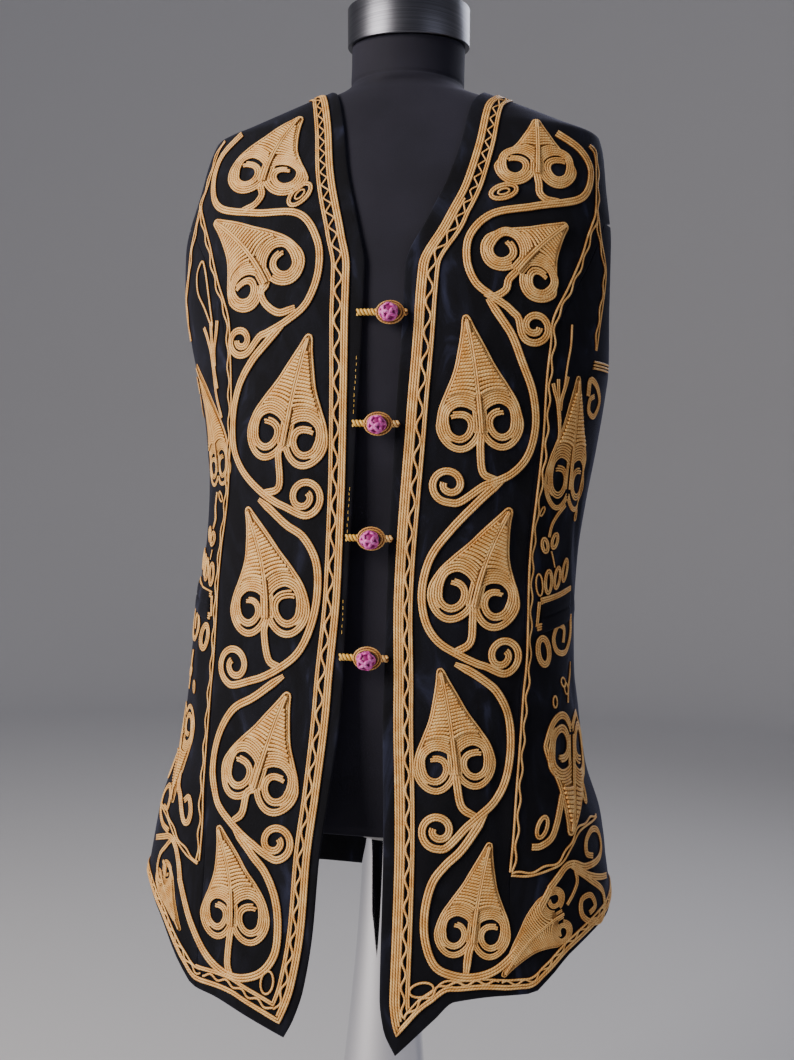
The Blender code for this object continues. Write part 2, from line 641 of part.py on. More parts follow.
def smooth_path(points, step):
    """Evenly spaced points along a Catmull-Rom curve through hand-set ones."""
    points = [np.array(p) for p in points]
    points = [2 * points[0] - points[1]] + points + [2 * points[-1] - points[-2]]
    fine = []
    for a, b, c, d in zip(points, points[1:], points[2:], points[3:]):
        for t in np.linspace(0, 1, 12, endpoint=False):
            fine.append(0.5 * (2 * b + (c - a) * t + (2 * a - 5 * b + 4 * c - d) * t * t
                               + (3 * b - a - 3 * c + d) * t ** 3))
    fine.append(points[-2])
    along = np.concatenate([[0], np.cumsum([np.linalg.norm(q - p) for p, q in zip(fine, fine[1:])])])
    stops = np.linspace(0, along[-1], max(2, round(along[-1] / step)) + 1)
    return [(float(np.interp(s, along, [p[0] for p in fine])),
             float(np.interp(s, along, [p[1] for p in fine]))) for s in stops]


def band(name, feet, normals, width, look):
    """A flat cord band whose middle line stands on the given points."""
    rings = []
    for i, (foot, normal) in enumerate(zip(feet, normals)):
        run = feet[min(i + 1, len(feet) - 1)] - feet[max(i - 1, 0)]
        across = np.cross(normal, run)
        across /= np.linalg.norm(across)
        base = foot + normal * CORD_LIFT
        crown = base + normal * CORD_HEIGHT
        rings.append([base - across * width / 2, base + across * width / 2,
                      crown + across * width * BAND_CROWN, crown - across * width * BAND_CROWN])
    add_tube(name, rings, look)


def strip(name, places, width, look):
    """A band laid on the smooth cloth along (turn, height) places."""
    band(name, [cloth(*p) for p in places], [section_normal(*p) for p in places], width, look)


def way_strip(name, path, width, look):
    strip(name, [(turn_at(way, z), z) for way, z in path], width, look)


def add_hem_braid(name, places):
    """A band that stands on a panel's own lowest points, partway between its last two rows."""
    low = [cloth(*place) for place in places[-1]]
    high = [cloth(*place) for place in places[-2]]
    feet = [between(a, b, HEM_BRAID_RISE) for a, b in zip(low, high)]
    normals = []
    for i, (a, b) in enumerate(zip(low, high)):
        run = feet[min(i + 1, len(feet) - 1)] - feet[max(i - 1, 0)]
        normal = np.cross(run, b - a)
        outward = np.dot(normal, section_normal(*places[-1][i])) > 0
        normals.append((normal if outward else -normal) / np.linalg.norm(normal))
    feet[0] = between(feet[0], feet[1], HEM_BRAID_MARGIN)
    feet[-1] = between(feet[-1], feet[-2], HEM_BRAID_MARGIN)
    band(name, feet, normals, WIDE_BRAID, GOLD_CORD)


def add_leaf(row, stations, shares):
    """A heart-shaped leaf of couched cord with two lobes at its end, crowned along its midrib."""
    leaf = dict(zip(LEAF_COLUMNS, row))
    tip = np.array([leaf["tip_round"], leaf["tip_height"]])
    end = np.array([leaf["end_round"], leaf["end_height"]])
    axis = tip - end
    length = np.linalg.norm(axis)
    axis /= length
    beside = np.array([axis[1], -axis[0]])
    profile = curve_through(LEAF_PROFILE)
    outer = []
    inner = []
    for t in stations:
        outer_row = []
        inner_row = []
        for s in shares:
            notch = LOBE_NOTCH * max(1 - abs(s) / 0.5, 0) + LOBE_CORNER * max((abs(s) - 0.66) / 0.34, 0)
            along = length * (t + notch * (1 - t) ** 3)
            place = end + axis * along + beside * s * leaf["half_width"] * profile(t)
            crown = LEAF_CROWN * (1 - abs(s)) * min(1.0, 4 * t * (1 - t) + 0.2)
            inner_row.append(on_cloth(place[0], place[1], CORD_LIFT))
            outer_row.append(on_cloth(place[0], place[1], CORD_LIFT + CORD_HEIGHT + crown))
        outer += outer_row
        inner += inner_row
    add_wall(leaf["name"], outer, inner, grid_faces(len(stations), len(shares)), GOLD_CORD)


def add_vine(name, points, middle, radius, turning):
    """A stem of three cords; where a curl ends it, the stem winds inwards round the curl's middle."""
    path = smooth_path(points, VINE_STEP)
    if middle:
        last = path[-1]
        start = math.atan2(last[1] - middle[1], last[0] - middle[0])
        reach = math.hypot(last[0] - middle[0], last[1] - middle[1])
        stops = 11
        for i in range(1, stops + 1):
            share = i / stops
            angle = start + turning * CURL_SWEEP * share
            blend = min(3 * share, 1.0)
            r = (reach * (1 - blend) + radius * blend) * (1 - (1 - CURL_END) * share)
            path.append((middle[0] + r * math.cos(angle), middle[1] + r * math.sin(angle)))
    way_strip(name, path, VINE_WIDTH, GOLD_CORD)


def add_pocket(name, way, height, width, depth, slope):
    """A welt pocket: a raised welt between two bars of cord, on the side gore."""
    shares = (-1, -0.5, 0, 0.5, 1)
    outer = []
    inner = []
    for v in (-1, -0.4, 0.4, 1):
        outer_row = []
        inner_row = []
        for u in shares:
            x = u * width / 2
            y = v * depth / 2 + x * math.sin(slope)
            raised = CORD_LIFT + (CORD_HEIGHT if abs(v) == 1 else CORD_HEIGHT * 0.8)
            outer_row.append(on_cloth(way + x, height + y, raised))
            inner_row.append(on_cloth(way + x, height + y, CORD_LIFT))
        outer += outer_row
        inner += inner_row
    add_wall(name, outer, inner, grid_faces(4, len(shares)), VELVET)


def button_depth(height):
    return -SECTION["front"](height)


def add_loop(name, height, start, end):
    """A long loop of cord across the opening, lying on both fronts."""
    middle = (start + end) / 2
    reach = (end - start) / 2
    around = 14
    rings = []
    for i in range(around):
        angle = math.tau * i / around
        power = 0.7
        x = middle + reach * math.copysign(abs(math.cos(angle)) ** power, math.cos(angle))
        z = height + LOOP_HALF_HEIGHT * math.copysign(abs(math.sin(angle)) ** power, math.sin(angle))
        y = min(on_cloth(x, z)[1], button_depth(z)) - LOOP_LIFT - LOOP_CORD
        out = np.array([math.cos(angle) / reach, 0, math.sin(angle) / LOOP_HALF_HEIGHT])
        out /= np.linalg.norm(out)
        centre = np.array([x, y, z])
        front = np.array([0, -1, 0])
        rings.append([centre + LOOP_CORD * (math.cos(a) * out + math.sin(a) * front)
                      for a in (math.tau * k / 6 for k in range(6))])
    points = [p for ring in rings for p in ring]
    faces = []
    for r in range(around):
        for s in range(6):
            a = r * 6 + s
            b = r * 6 + (s + 1) % 6
            after = ((r + 1) % around - r) * 6
            faces.append((a, b, b + after, a + after))
    add_mesh(name, points, faces, LOOP_GOLD)


def add_ball(name, x, height):
    """A knotted ball button in front of its loop."""
    work = bmesh.new()
    bmesh.ops.create_uvsphere(work, u_segments=14, v_segments=9, radius=BALL_RADIUS)
    seat = math.sqrt((BALL_RADIUS + LOOP_CORD + 2 * TOUCH) ** 2 - LOOP_HALF_HEIGHT ** 2)
    y = button_depth(height) - LOOP_LIFT - LOOP_CORD - seat
    bmesh.ops.translate(work, verts=work.verts, vec=(x, y, height))
    mesh = bpy.data.meshes.new(name)
    work.to_mesh(mesh)
    work.free()
    mesh.shade_smooth()
    thing = bpy.data.objects.new(name, mesh)
    bpy.context.scene.collection.objects.link(thing)
    finish(thing, MAGENTA_CORD)


def circle(radius, height, sides, tilt=0.0):
    """A ring of points, leaning forwards about its middle by the tilt."""
    turns = [math.tau * s / sides for s in range(sides)]
    return [np.array([radius * math.sin(t), -radius * math.cos(t) * math.cos(tilt),
                      height - radius * math.cos(t) * math.sin(tilt)]) for t in turns]


def add_form():
    """Torso and neck of the dress form: the cloth's own shape, smaller by the wall and the ease."""
    rings = []
    for height in FORM_HEIGHTS:
        ring = []
        for s in range(FORM_SIDES):
            turn = wrapped(math.tau * (s + 0.5) / FORM_SIDES)
            face = "front" if abs(turn) < QUARTER else "back"
            side = "right" if turn < 0 else "left"
            share = abs(math.sin(turn)) ** 4
            ease = ROOM[face](height) * (1 - share) + ROOM[side](height) * share
            point = body_section(turn, height) - section_normal(turn, height) * (WALL + ease)
            point[2] = height if height < FORM_FLAT_BELOW else point[2]
            ring.append(point)
        rings.append(ring)
    neck = [(NECK_RADIUS + 0.001, 1.2405, 0.25), (NECK_RADIUS, 1.252, 0.5), (NECK_RADIUS, NECK_TOP, 1.0)]
    for radius, height, share in neck:
        ring = circle(radius, height, FORM_SIDES * 2, CAP_TILT * share)[1::2]
        rings.append(ring)
    add_tube("form_torso", rings, JERSEY)


def add_cap():
    """Satin metal ring and lid on top of the neck, with a small bevel."""
    rings = []
    for radius, rise in ((CAP_RADIUS - CAP_BEVEL, 0), (CAP_RADIUS, CAP_BEVEL),
                         (CAP_RADIUS, CAP_HEIGHT - CAP_BEVEL), (CAP_RADIUS - CAP_BEVEL, CAP_HEIGHT)):
        lift = TOUCH + rise
        ring = circle(radius, NECK_TOP, FORM_SIDES, CAP_TILT)
        up = np.array([0, -math.sin(CAP_TILT), math.cos(CAP_TILT)])
        rings.append([p + up * lift for p in ring])
    add_tube("neck_cap", rings, SATIN_STEEL)


def add_turned(name, profile, sides, look):
    add_tube(name, [circle(r, z, sides) for r, z in profile], look)


def add_back(left, right):
    """The back in one piece: two halves that share their middle line below the nape."""
    halves = [left.half_back(), right.half_back()]
    across = BACK_COLUMNS + 1
    count = len(ROWS) * across
    faces = grid_faces(len(ROWS), across)
    middle = [r * across + BACK_COLUMNS for r, row in enumerate(ROWS) if row >= NECK_ROW]
    twin = {count + i: i for i in middle}
    faces += [tuple(twin.get(count + i, count + i) for i in reversed(face)) for face in faces]
    flat = [place for half in halves for row in half for place in row]
    kept = [i for i in range(len(flat)) if i not in twin]
    renumbered = {i: n for n, i in enumerate(kept)}
    add_panel("back", [[flat[i] for i in kept]], [tuple(renumbered[i] for i in face) for face in faces])
    bottom = [row[:-1] + mirrored[::-1] for row, mirrored in zip(halves[0][-2:], halves[1][-2:])]
    add_hem_braid("hem_braid_back", bottom)
    drop = curve_through(NECK_BRAID_DROP)
    half = []
    for share in np.linspace(NECK_BRAID_DROP[0][0], 1, NECK_BRAID_STOPS):
        fall = BACK_NECK_DROP * math.sin(QUARTER * share)
        half.append((QUARTER * (1 + share), NECK_POINT - fall - drop(share)))
    mirrored = [(math.tau - turn, height) for turn, height in half[-2::-1]]
    strip("neck_braid_back", half + mirrored, WIDE_BRAID, GOLD_CORD)


def build():
    for thing in list(bpy.data.objects):
        bpy.data.objects.remove(thing, do_unlink=True)
    left = Side("left", 1, LEFT_EDGE, LEFT_HEM, LEFT_SEAM, LEFT_BRAID)
    right = Side("right", -1, RIGHT_EDGE, RIGHT_HEM, RIGHT_SEAM, RIGHT_BRAID)
    for side in (left, right):
        side.front()
        side.gore()
        way_strip("braid_wide_" + side.name, side.braid_path("wide", True), WIDE_BRAID, GOLD_CORD)
        way_strip("braid_narrow_" + side.name, side.braid_path("narrow", False), NARROW_BRAID, GOLD_CORD)
    add_back(left, right)
    for row in LEAVES:
        add_leaf(row, LEAF_STATIONS, (-1, -0.66, -0.33, 0, 0.33, 0.66, 1))
    for row in SIDE_LEAVES:
        add_leaf(row, LEAF_STATIONS, (-1, -0.5, 0, 0.5, 1))
    for vine in VINES:
        add_vine(*vine)
    for name, points in FRAMES:
        way_strip(name, smooth_path(points, FRAME_STEP), FRAME_WIDTH, GOLD_CORD)
    for pocket in POCKETS:
        add_pocket(*pocket)
    for number, x, height, start, end in BUTTONS:
        add_loop("loop_" + number, height, start, end)
        add_ball("button_" + number, x, height)
    add_form()
    add_cap()
    flange = ((FLANGE_RADIUS, TORSO_BOTTOM - TOUCH), (FLANGE_RADIUS, TORSO_BOTTOM - TOUCH - FLANGE_HEIGHT))
    add_turned("flange", flange, STAND_SIDES, PALE_ENAMEL)
    add_turned("stand", STAND_PROFILE, STAND_SIDES, CHROME)


build()
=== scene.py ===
# Long open velvet vest with couched gold cord, on a limbless dress form with a flared stand.
# Metres, Z up. The vest faces -Y and +X is the wearer's left.
# Needlework is placed by two measures: the way round the cloth from centre front, and the height.
import math

import bpy
import numpy as np
from mathutils import Matrix


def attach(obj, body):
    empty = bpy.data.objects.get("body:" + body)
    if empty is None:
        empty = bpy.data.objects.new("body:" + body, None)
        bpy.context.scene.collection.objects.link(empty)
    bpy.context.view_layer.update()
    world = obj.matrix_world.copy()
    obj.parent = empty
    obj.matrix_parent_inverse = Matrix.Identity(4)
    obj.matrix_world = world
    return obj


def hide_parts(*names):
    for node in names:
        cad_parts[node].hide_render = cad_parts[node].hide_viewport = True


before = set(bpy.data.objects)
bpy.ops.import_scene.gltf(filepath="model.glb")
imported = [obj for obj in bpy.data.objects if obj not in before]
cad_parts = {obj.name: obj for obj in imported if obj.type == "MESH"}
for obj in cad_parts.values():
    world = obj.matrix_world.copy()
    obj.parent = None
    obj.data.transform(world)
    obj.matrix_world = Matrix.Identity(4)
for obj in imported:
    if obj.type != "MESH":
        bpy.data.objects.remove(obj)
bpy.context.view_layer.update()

quarter = math.pi / 2
rng = np.random.default_rng(7)

# The cloth's own sizes, as in the solids
cloth = {
    "wall": 0.002,
    "squareness": 2.3,
    "seamGap": 0.0,
    "neckPoint": 1.235,
    "shoulderPoint": 1.189,
    "goreTop": 1.105,
    "underarm": 0.968,
    "veeBottom": 1.052,
    "napeDrop": 0.014,
    "hemLevel": 0.48,
    "lastRow": 25,
    "veeRow": 6,
    "neckRow": 4,
    "goreRow": 3,
    "armRow": 8,
}
# Half width on the wearer's right and left, front and back depth, at each height
sectionTable = (
    (0.380, 0.238, 0.220, 0.148, 0.138), (0.430, 0.233, 0.214, 0.145, 0.134), (0.485, 0.227, 0.207, 0.141, 0.129),
    (0.530, 0.222, 0.201, 0.137, 0.124), (0.576, 0.215, 0.193, 0.133, 0.118), (0.623, 0.199, 0.178, 0.128, 0.110),
    (0.670, 0.193, 0.171, 0.124, 0.104), (0.717, 0.190, 0.167, 0.120, 0.098), (0.764, 0.185, 0.166, 0.117, 0.093),
    (0.811, 0.179, 0.168, 0.115, 0.090), (0.858, 0.177, 0.174, 0.116, 0.092), (0.905, 0.180, 0.182, 0.118, 0.096),
    (0.952, 0.187, 0.189, 0.121, 0.101), (0.999, 0.198, 0.194, 0.120, 0.105), (1.046, 0.206, 0.195, 0.115, 0.108),
    (1.084, 0.207, 0.195, 0.107, 0.108), (1.140, 0.195, 0.188, 0.092, 0.102), (1.189, 0.181, 0.179, 0.072, 0.084),
    (1.200, 0.155, 0.154, 0.068, 0.078), (1.213, 0.122, 0.122, 0.063, 0.071), (1.226, 0.087, 0.087, 0.058, 0.063),
    (1.235, 0.062, 0.062, 0.055, 0.057),
)
# Flutes of the skirt: degrees round, half width in degrees, depth at the hem
flutes = ((-152, 15, 0.0050), (-110, 14, 0.0045), (-76, 11, 0.0035), (70, 11, 0.0045), (112, 14, 0.0050),
          (150, 15, 0.0055))
fluteTop, fluteBottom = 0.60, 0.46
# Creases, one by one: degrees and height of both ends, half width, depth (minus is a trough)
creases = (
    (52, 0.93, 60, 0.62, 0.0090, 0.0016), (43, 0.70, 39, 0.50, 0.0075, -0.0013), (20, 0.62, 16, 0.47, 0.0080, 0.0012),
    (-48, 0.90, -56, 0.66, 0.0095, 0.0015), (-34, 0.66, -30, 0.47, 0.0085, -0.0014), (-18, 0.58, -22, 0.44, 0.0070, 0.0012),
    (74, 0.90, 84, 0.80, 0.0060, -0.0022), (70, 0.83, 86, 0.76, 0.0055, 0.0016), (78, 0.72, 88, 0.66, 0.0065, -0.0018),
    (-72, 0.89, -86, 0.81, 0.0060, -0.0020), (-76, 0.80, -88, 0.74, 0.0060, 0.0016), (-80, 0.69, -87, 0.62, 0.0070, -0.0016),
    (150, 1.00, 118, 0.90, 0.0110, 0.0022), (-146, 0.98, -116, 0.88, 0.0100, 0.0020), (162, 0.86, 122, 0.80, 0.0085, -0.0026),
    (-160, 0.85, -124, 0.78, 0.0090, -0.0028), (168, 0.80, 128, 0.74, 0.0080, 0.0022), (-170, 0.76, -130, 0.71, 0.0075, 0.0020),
    (176, 0.72, 174, 0.50, 0.0120, 0.0020), (136, 0.66, 132, 0.49, 0.0110, -0.0022), (-138, 0.64, -134, 0.49, 0.0100, -0.0020),
    (108, 0.95, 104, 0.80, 0.0080, 0.0014), (-106, 0.94, -103, 0.80, 0.0080, 0.0014), (98, 0.70, 101, 0.52, 0.0090, 0.0016),
    (-97, 0.70, -100, 0.52, 0.0090, 0.0016),
)
metresPerDegree = 0.0029


def curveThrough(knots):  # smooth through its knots, and never past them
    at = np.array([k[0] for k in knots], float)
    value = np.array([k[1] for k in knots], float)
    slope = np.diff(value) / np.diff(at)
    inner = [2 * a * b / (a + b) if a * b > 0 else 0.0 for a, b in zip(slope, slope[1:])]
    tangent = np.array([slope[0]] + inner + [slope[-1]])

    def curve(x):
        x = np.asarray(x, float)
        i = np.clip(np.searchsorted(at, x) - 1, 0, len(at) - 2)
        width = at[i + 1] - at[i]
        t = np.clip((x - at[i]) / width, 0, 1)
        y = value[i] * (1 + 2 * t) * (1 - t) ** 2 + value[i + 1] * t * t * (3 - 2 * t)
        y = y + width * (tangent[i] * t * (1 - t) ** 2 + tangent[i + 1] * t * t * (t - 1))
        return y + tangent[0] * np.minimum(x - at[0], 0) + tangent[-1] * np.maximum(x - at[-1], 0)

    return curve


rightHalf, leftHalf, frontDepth, backDepth = (
    curveThrough([(row[0], row[k]) for row in sectionTable]) for k in (1, 2, 3, 4))
power = 2 / cloth["squareness"]
fineTurns = np.linspace(0, math.pi, 181)


def wrapped(turn):
    return np.where(turn > math.pi, turn - math.tau, turn)


def bodySection(turn, height):
    turn = wrapped(turn)
    half = np.where(turn < 0, rightHalf(height), leftHalf(height))
    depth = np.where(np.abs(turn) < quarter, -frontDepth(height), backDepth(height))
    x = np.sign(turn) * half * np.abs(np.sin(turn)) ** power
    return np.stack([x, depth * np.abs(np.cos(turn)) ** power, height + 0 * x], -1)


def sectionNormal(turn, height):
    turn = wrapped(turn)
    side = np.where(turn < 0, -1.0, 1.0)
    turn = side * np.clip(np.abs(turn), 0.011, math.pi - 0.011)
    low = np.maximum(np.minimum(height, cloth["neckPoint"] - 0.0005) - 0.001, 0.38)
    across = bodySection(turn + 0.01, height) - bodySection(turn - 0.01, height)
    normal = np.cross(across, bodySection(turn, low + 0.002) - bodySection(turn, low))
    return normal / np.linalg.norm(normal, axis=-1, keepdims=True)


def creased(turn, height):  # how far the flutes and creases carry the cloth outwards
    degrees = np.degrees(wrapped(turn))
    low = np.clip((fluteTop - height) / (fluteTop - fluteBottom), 0, 1) ** 2
    carry = low * sum(d * np.exp(-(((degrees - at) / w) ** 2)) for at, w, d in flutes)
    for fromTurn, fromHeight, toTurn, toHeight, halfWidth, depth in creases:
        run = np.array([(toTurn - fromTurn) * metresPerDegree, toHeight - fromHeight])
        length = np.hypot(*run)
        across = (degrees - fromTurn) * metresPerDegree
        rise = height - fromHeight
        along = (across * run[0] + rise * run[1]) / length / length
        beside = (across * run[1] - rise * run[0]) / length
        bend = 0.12 * length * np.sin(math.pi * np.clip(along, 0, 1))  # no crease is quite straight
        ends = np.clip(np.minimum(along, 1 - along) / 0.3 + 0.5, 0, 1)
        carry = carry + depth * np.exp(-(((beside - bend) / halfWidth) ** 2)) * ends * ends * (3 - 2 * ends)
    return carry


def clothPoint(turn, height, out=0.0):
    turn, height = np.asarray(turn, float), np.asarray(height, float)
    lift = out + creased(turn, height)
    return bodySection(turn, height) + sectionNormal(turn, height) * np.asarray(lift)[..., None]


def ringMeasure(height, right):
    half = np.where(right, rightHalf(height), leftHalf(height))[:, None]
    depth = np.where(fineTurns < quarter, -frontDepth(height)[:, None], backDepth(height)[:, None])
    x = half * np.abs(np.sin(fineTurns)) ** power
    y = depth * np.abs(np.cos(fineTurns)) ** power
    steps = np.hypot(np.diff(x), np.diff(y))
    return np.concatenate([np.zeros((len(half), 1)), np.cumsum(steps, 1)], 1)


def turnAt(way, height):
    way, height = np.atleast_1d(np.asarray(way, float)), np.atleast_1d(np.asarray(height, float))
    turns = []
    for start in range(0, len(way), 4000):
        w, z = way[start:start + 4000], height[start:start + 4000]
        ring = ringMeasure(z, w < 0)
        i = np.clip((ring < np.abs(w)[:, None]).sum(1) - 1, 0, 179)
        n = np.arange(len(w))
        share = (np.abs(w) - ring[n, i]) / (ring[n, i + 1] - ring[n, i])
        turns.append(np.where(w < 0, -1, 1) * (fineTurns[i] + np.clip(share, 0, 1) * fineTurns[1]))
    return np.concatenate(turns)


def wayRound(turn, height):
    ring = ringMeasure(np.atleast_1d(float(height)), np.array([turn < 0]))[0]
    return math.copysign(float(np.interp(abs(turn), fineTurns, ring)), turn)


def onCloth(path, out=0.0):  # points and normals along a path of (way, height)
    path = np.asarray(path, float)
    turn = turnAt(path[:, 0], path[:, 1])
    return clothPoint(turn, path[:, 1], out), sectionNormal(turn, path[:, 1])


print("surface ready")

# Camera at the photograph's angle
camera = {"distance": 1.08, "bearing": 8.5, "height": 0.83, "roll": 1.4, "lens": 39.06, "filmHeight": 36}
bearing = math.radians(camera["bearing"])
cameraData = bpy.data.cameras.new("camera")
cameraData.sensor_fit = "VERTICAL"
cameraData.sensor_height = camera["filmHeight"]
cameraData.lens = camera["lens"]
cameraData.clip_start = 0.05
cameraThing = bpy.data.objects.new("camera", cameraData)
bpy.context.scene.collection.objects.link(cameraThing)
spot = (camera["distance"] * math.sin(bearing), -camera["distance"] * math.cos(bearing), camera["height"])
cameraThing.matrix_world = (Matrix.Translation(spot) @ Matrix.Rotation(bearing, 4, "Z")
                            @ Matrix.Rotation(quarter, 4, "X")
                            @ Matrix.Rotation(math.radians(camera["roll"]), 4, "Z"))
bpy.context.scene.camera = cameraThing


def linear(hexCode):
    parts = [int(hexCode[i:i + 2], 16) / 255 for i in (1, 3, 5)]
    return [c / 12.92 if c <= 0.04045 else ((c + 0.055) / 1.055) ** 2.4 for c in parts] + [1.0]


def addNode(tree, kind, values=None, links=None, **settings):
    node = tree.nodes.new(kind)
    for key, value in settings.items():
        setattr(node, key, value)
    for key, value in (values or {}).items():
        node.inputs[key].default_value = value
    for key, source in (links or {}).items():
        tree.links.new(source, node.inputs[key])
    return node


def newMaterial(name, base, roughness, metallic=0.0, **more):
    material = bpy.data.materials.new(name)
    material.use_nodes = True
    tree = material.node_tree
    shader = tree.nodes["Principled BSDF"]
    shader.inputs["Base Color"].default_value = linear(base)
    shader.inputs["Roughness"].default_value = roughness
    shader.inputs["Metallic"].default_value = metallic
    for key, value in more.items():
        shader.inputs[key.replace("_", " ")].default_value = value
    return material, tree, shader


def ramp(tree, factor, stops):
    node = addNode(tree, "ShaderNodeValToRGB", links={"Fac": factor})
    for i, (at, hexCode) in enumerate(stops):
        stop = node.color_ramp.elements[i] if i < 2 else node.color_ramp.elements.new(at)
        stop.position = at
        stop.color = linear(hexCode)
    return node.outputs["Color"]


def grain(tree, source, scale, detail=3.0, distortion=0.0):
    return addNode(tree, "ShaderNodeTexNoise", {"Scale": scale, "Detail": detail, "Distortion": distortion},
                   {"Vector": source}).outputs["Fac"]


def bump(tree, shader, height, distance, strength=1.0):
    node = addNode(tree, "ShaderNodeBump", {"Strength": strength, "Distance": distance}, {"Height": height})
    tree.links.new(node.outputs["Normal"], shader.inputs["Normal"])


# Cotton velvet, cut pile: near black, with paler bluish streaks of painted sheen where the pile is brushed another way
velvet, tree, shader = newMaterial("blackCottonVelvet", "#0c0c14", 0.88, Sheen_Weight=0.32, Sheen_Roughness=0.38,
                                   Sheen_Tint=linear("#8c90b4"), Specular_IOR_Level=0.18)
here = addNode(tree, "ShaderNodeTexCoord").outputs["Object"]
streaks = addNode(tree, "ShaderNodeMapping", {"Scale": (1.0, 1.0, 0.45)}, {"Vector": here}).outputs["Vector"]
brushedPileSheen = grain(tree, streaks, 30, 6, 1.6)  # brushed patches about 40 mm long, paler as painted sheen
# painted sheen: the brushed patches run from near black to a paler bluish grey
tree.links.new(ramp(tree, brushedPileSheen, ((0.44, "#07070d"), (0.60, "#0f1019"), (0.74, "#24273a"), (0.86, "#3c4058"))),
               shader.inputs["Base Color"])
bump(tree, shader, grain(tree, here, 1500, 2), 0.0004, 0.5)  # pile tufts of 0.7 mm

# Twisted rayon cord, couched side by side: warm pale gold, satin, with painted shade down the flanks where the cords
# meet and a painted highlight along their tops


def cordMaterial(name, shade, body, light, pitch, roughness=0.46):
    material, tree, shader = newMaterial(name, body, roughness, Sheen_Weight=0.10, Sheen_Roughness=0.4,
                                         Sheen_Tint=linear(light), Specular_IOR_Level=0.5)

    def sum_(a, b, kind="ADD"):
        links = {i: v for i, v in enumerate((a, b)) if not isinstance(v, float)}
        values = {i: v for i, v in enumerate((a, b)) if isinstance(v, float)}
        return addNode(tree, "ShaderNodeMath", values, links, operation=kind).outputs[0]

    run = addNode(tree, "ShaderNodeAttribute", attribute_name="cordRun").outputs["Fac"]
    around = addNode(tree, "ShaderNodeAttribute", attribute_name="cordRound").outputs["Fac"]
    phase = sum_(sum_(run, math.tau / pitch, "MULTIPLY"), sum_(around, 2 * math.tau, "MULTIPLY"))
    strand = sum_(sum_(sum_(phase, 0.0, "SINE"), 0.5, "MULTIPLY"), 0.5)
    flank = sum_(sum_(around, 0.5, "SUBTRACT"), 0.0, "ABSOLUTE")  # none on top, a quarter at the sides
    # painted shade: the colour darkens down each cord's flanks, where its neighbours shade it
    paintedFlankShade = addNode(tree, "ShaderNodeMapRange", {"From Min": 0.10, "From Max": 0.25, "To Min": 0.44, "To Max": -0.10},
                   {"Value": flank}, interpolation_type="SMOOTHSTEP").outputs["Result"]
    here = addNode(tree, "ShaderNodeTexCoord").outputs["Object"]
    worn = sum_(grain(tree, here, 120, 4), 0.50, "MULTIPLY")  # shade changes every 8 mm or so
    # twist stripes (partly painted shade in the grooves), random tone and the painted flank shade; the ramp runs from
    # painted shade through the body colour to a painted highlight on top
    toneAndPaintedLight = sum_(sum_(sum_(strand, 0.20, "MULTIPLY"), worn), paintedFlankShade)
    tree.links.new(ramp(tree, toneAndPaintedLight, ((0.26, shade), (0.62, body), (0.99, light))), shader.inputs["Base Color"])
    bump(tree, shader, strand, 0.0003, 0.5)
    return material


# colours: painted shade, the cord's own body colour, painted highlight; then the twist's pitch
goldCord = cordMaterial("twistedGoldRayonCord", "#66390f", "#cb8836", "#f9d48e", 0.0026)
fineGold = cordMaterial("fineGoldCord", "#66390f", "#c88637", "#f8d28c", 0.0024)
yellowCord = cordMaterial("yellowLoopCord", "#a87412", "#dba53a", "#f2cf78", 0.0040)
magentaCord = cordMaterial("magentaKnotCord", "#8e1668", "#cc35a0", "#ee8fd4", 0.0032)

# Cotton wadding under the leaves, dyed to the cord
padding, tree, shader = newMaterial("goldPadding", "#a06c30", 0.9)
here = addNode(tree, "ShaderNodeTexCoord").outputs["Object"]
tree.links.new(ramp(tree, grain(tree, here, 700), ((0.3, "#83562a"), (0.7, "#bb8743"))), shader.inputs["Base Color"])

# Cotton and elastane jersey, knitted: dark slate, matte, its ribs too fine to see but as a soft grain. Its colour is
# partly the jersey's own dark tone and partly painted shade, darkened for the deep gap between the fronts
jersey, tree, shader = newMaterial("slateJersey", "#1b1a24", 0.82, Sheen_Weight=0.25, Sheen_Roughness=0.5,
                                   Sheen_Tint=linear("#9a9cb8"), Specular_IOR_Level=0.25)
here = addNode(tree, "ShaderNodeTexCoord").outputs["Object"]
knit = addNode(tree, "ShaderNodeMapping", {"Scale": (1.0, 1.0, 0.5)}, {"Vector": here}).outputs["Vector"]
# tones partly the jersey's own, partly painted shade for the gap between the fronts
tree.links.new(ramp(tree, grain(tree, here, 14, 3), ((0.35, "#161520"), (0.7, "#1f1e2a"))), shader.inputs["Base Color"])
bump(tree, shader, grain(tree, knit, 1300, 2), 0.0003, 0.35)

# Brushed steel, lacquered: satin, streaked round the ring
brushedSteel, tree, shader = newMaterial("brushedSteel", "#5d5e66", 0.36, 1.0)
here = addNode(tree, "ShaderNodeTexCoord").outputs["Object"]
lathed = addNode(tree, "ShaderNodeMapping", {"Scale": (2.0, 2.0, 260.0)}, {"Vector": here}).outputs["Vector"]
tree.links.new(ramp(tree, grain(tree, lathed, 6, 2), ((0.3, "#53545c"), (0.7, "#6c6d76"))), shader.inputs["Base Color"])
bump(tree, shader, grain(tree, lathed, 6, 2), 0.0002, 0.15)

# Chromed steel tube, polished: mirror bright, with a faint ripple from the spinning
chrome, tree, shader = newMaterial("polishedChrome", "#dcdce2", 0.07, 1.0)
here = addNode(tree, "ShaderNodeTexCoord").outputs["Object"]
bump(tree, shader, grain(tree, here, 9, 1), 0.0006, 0.12)

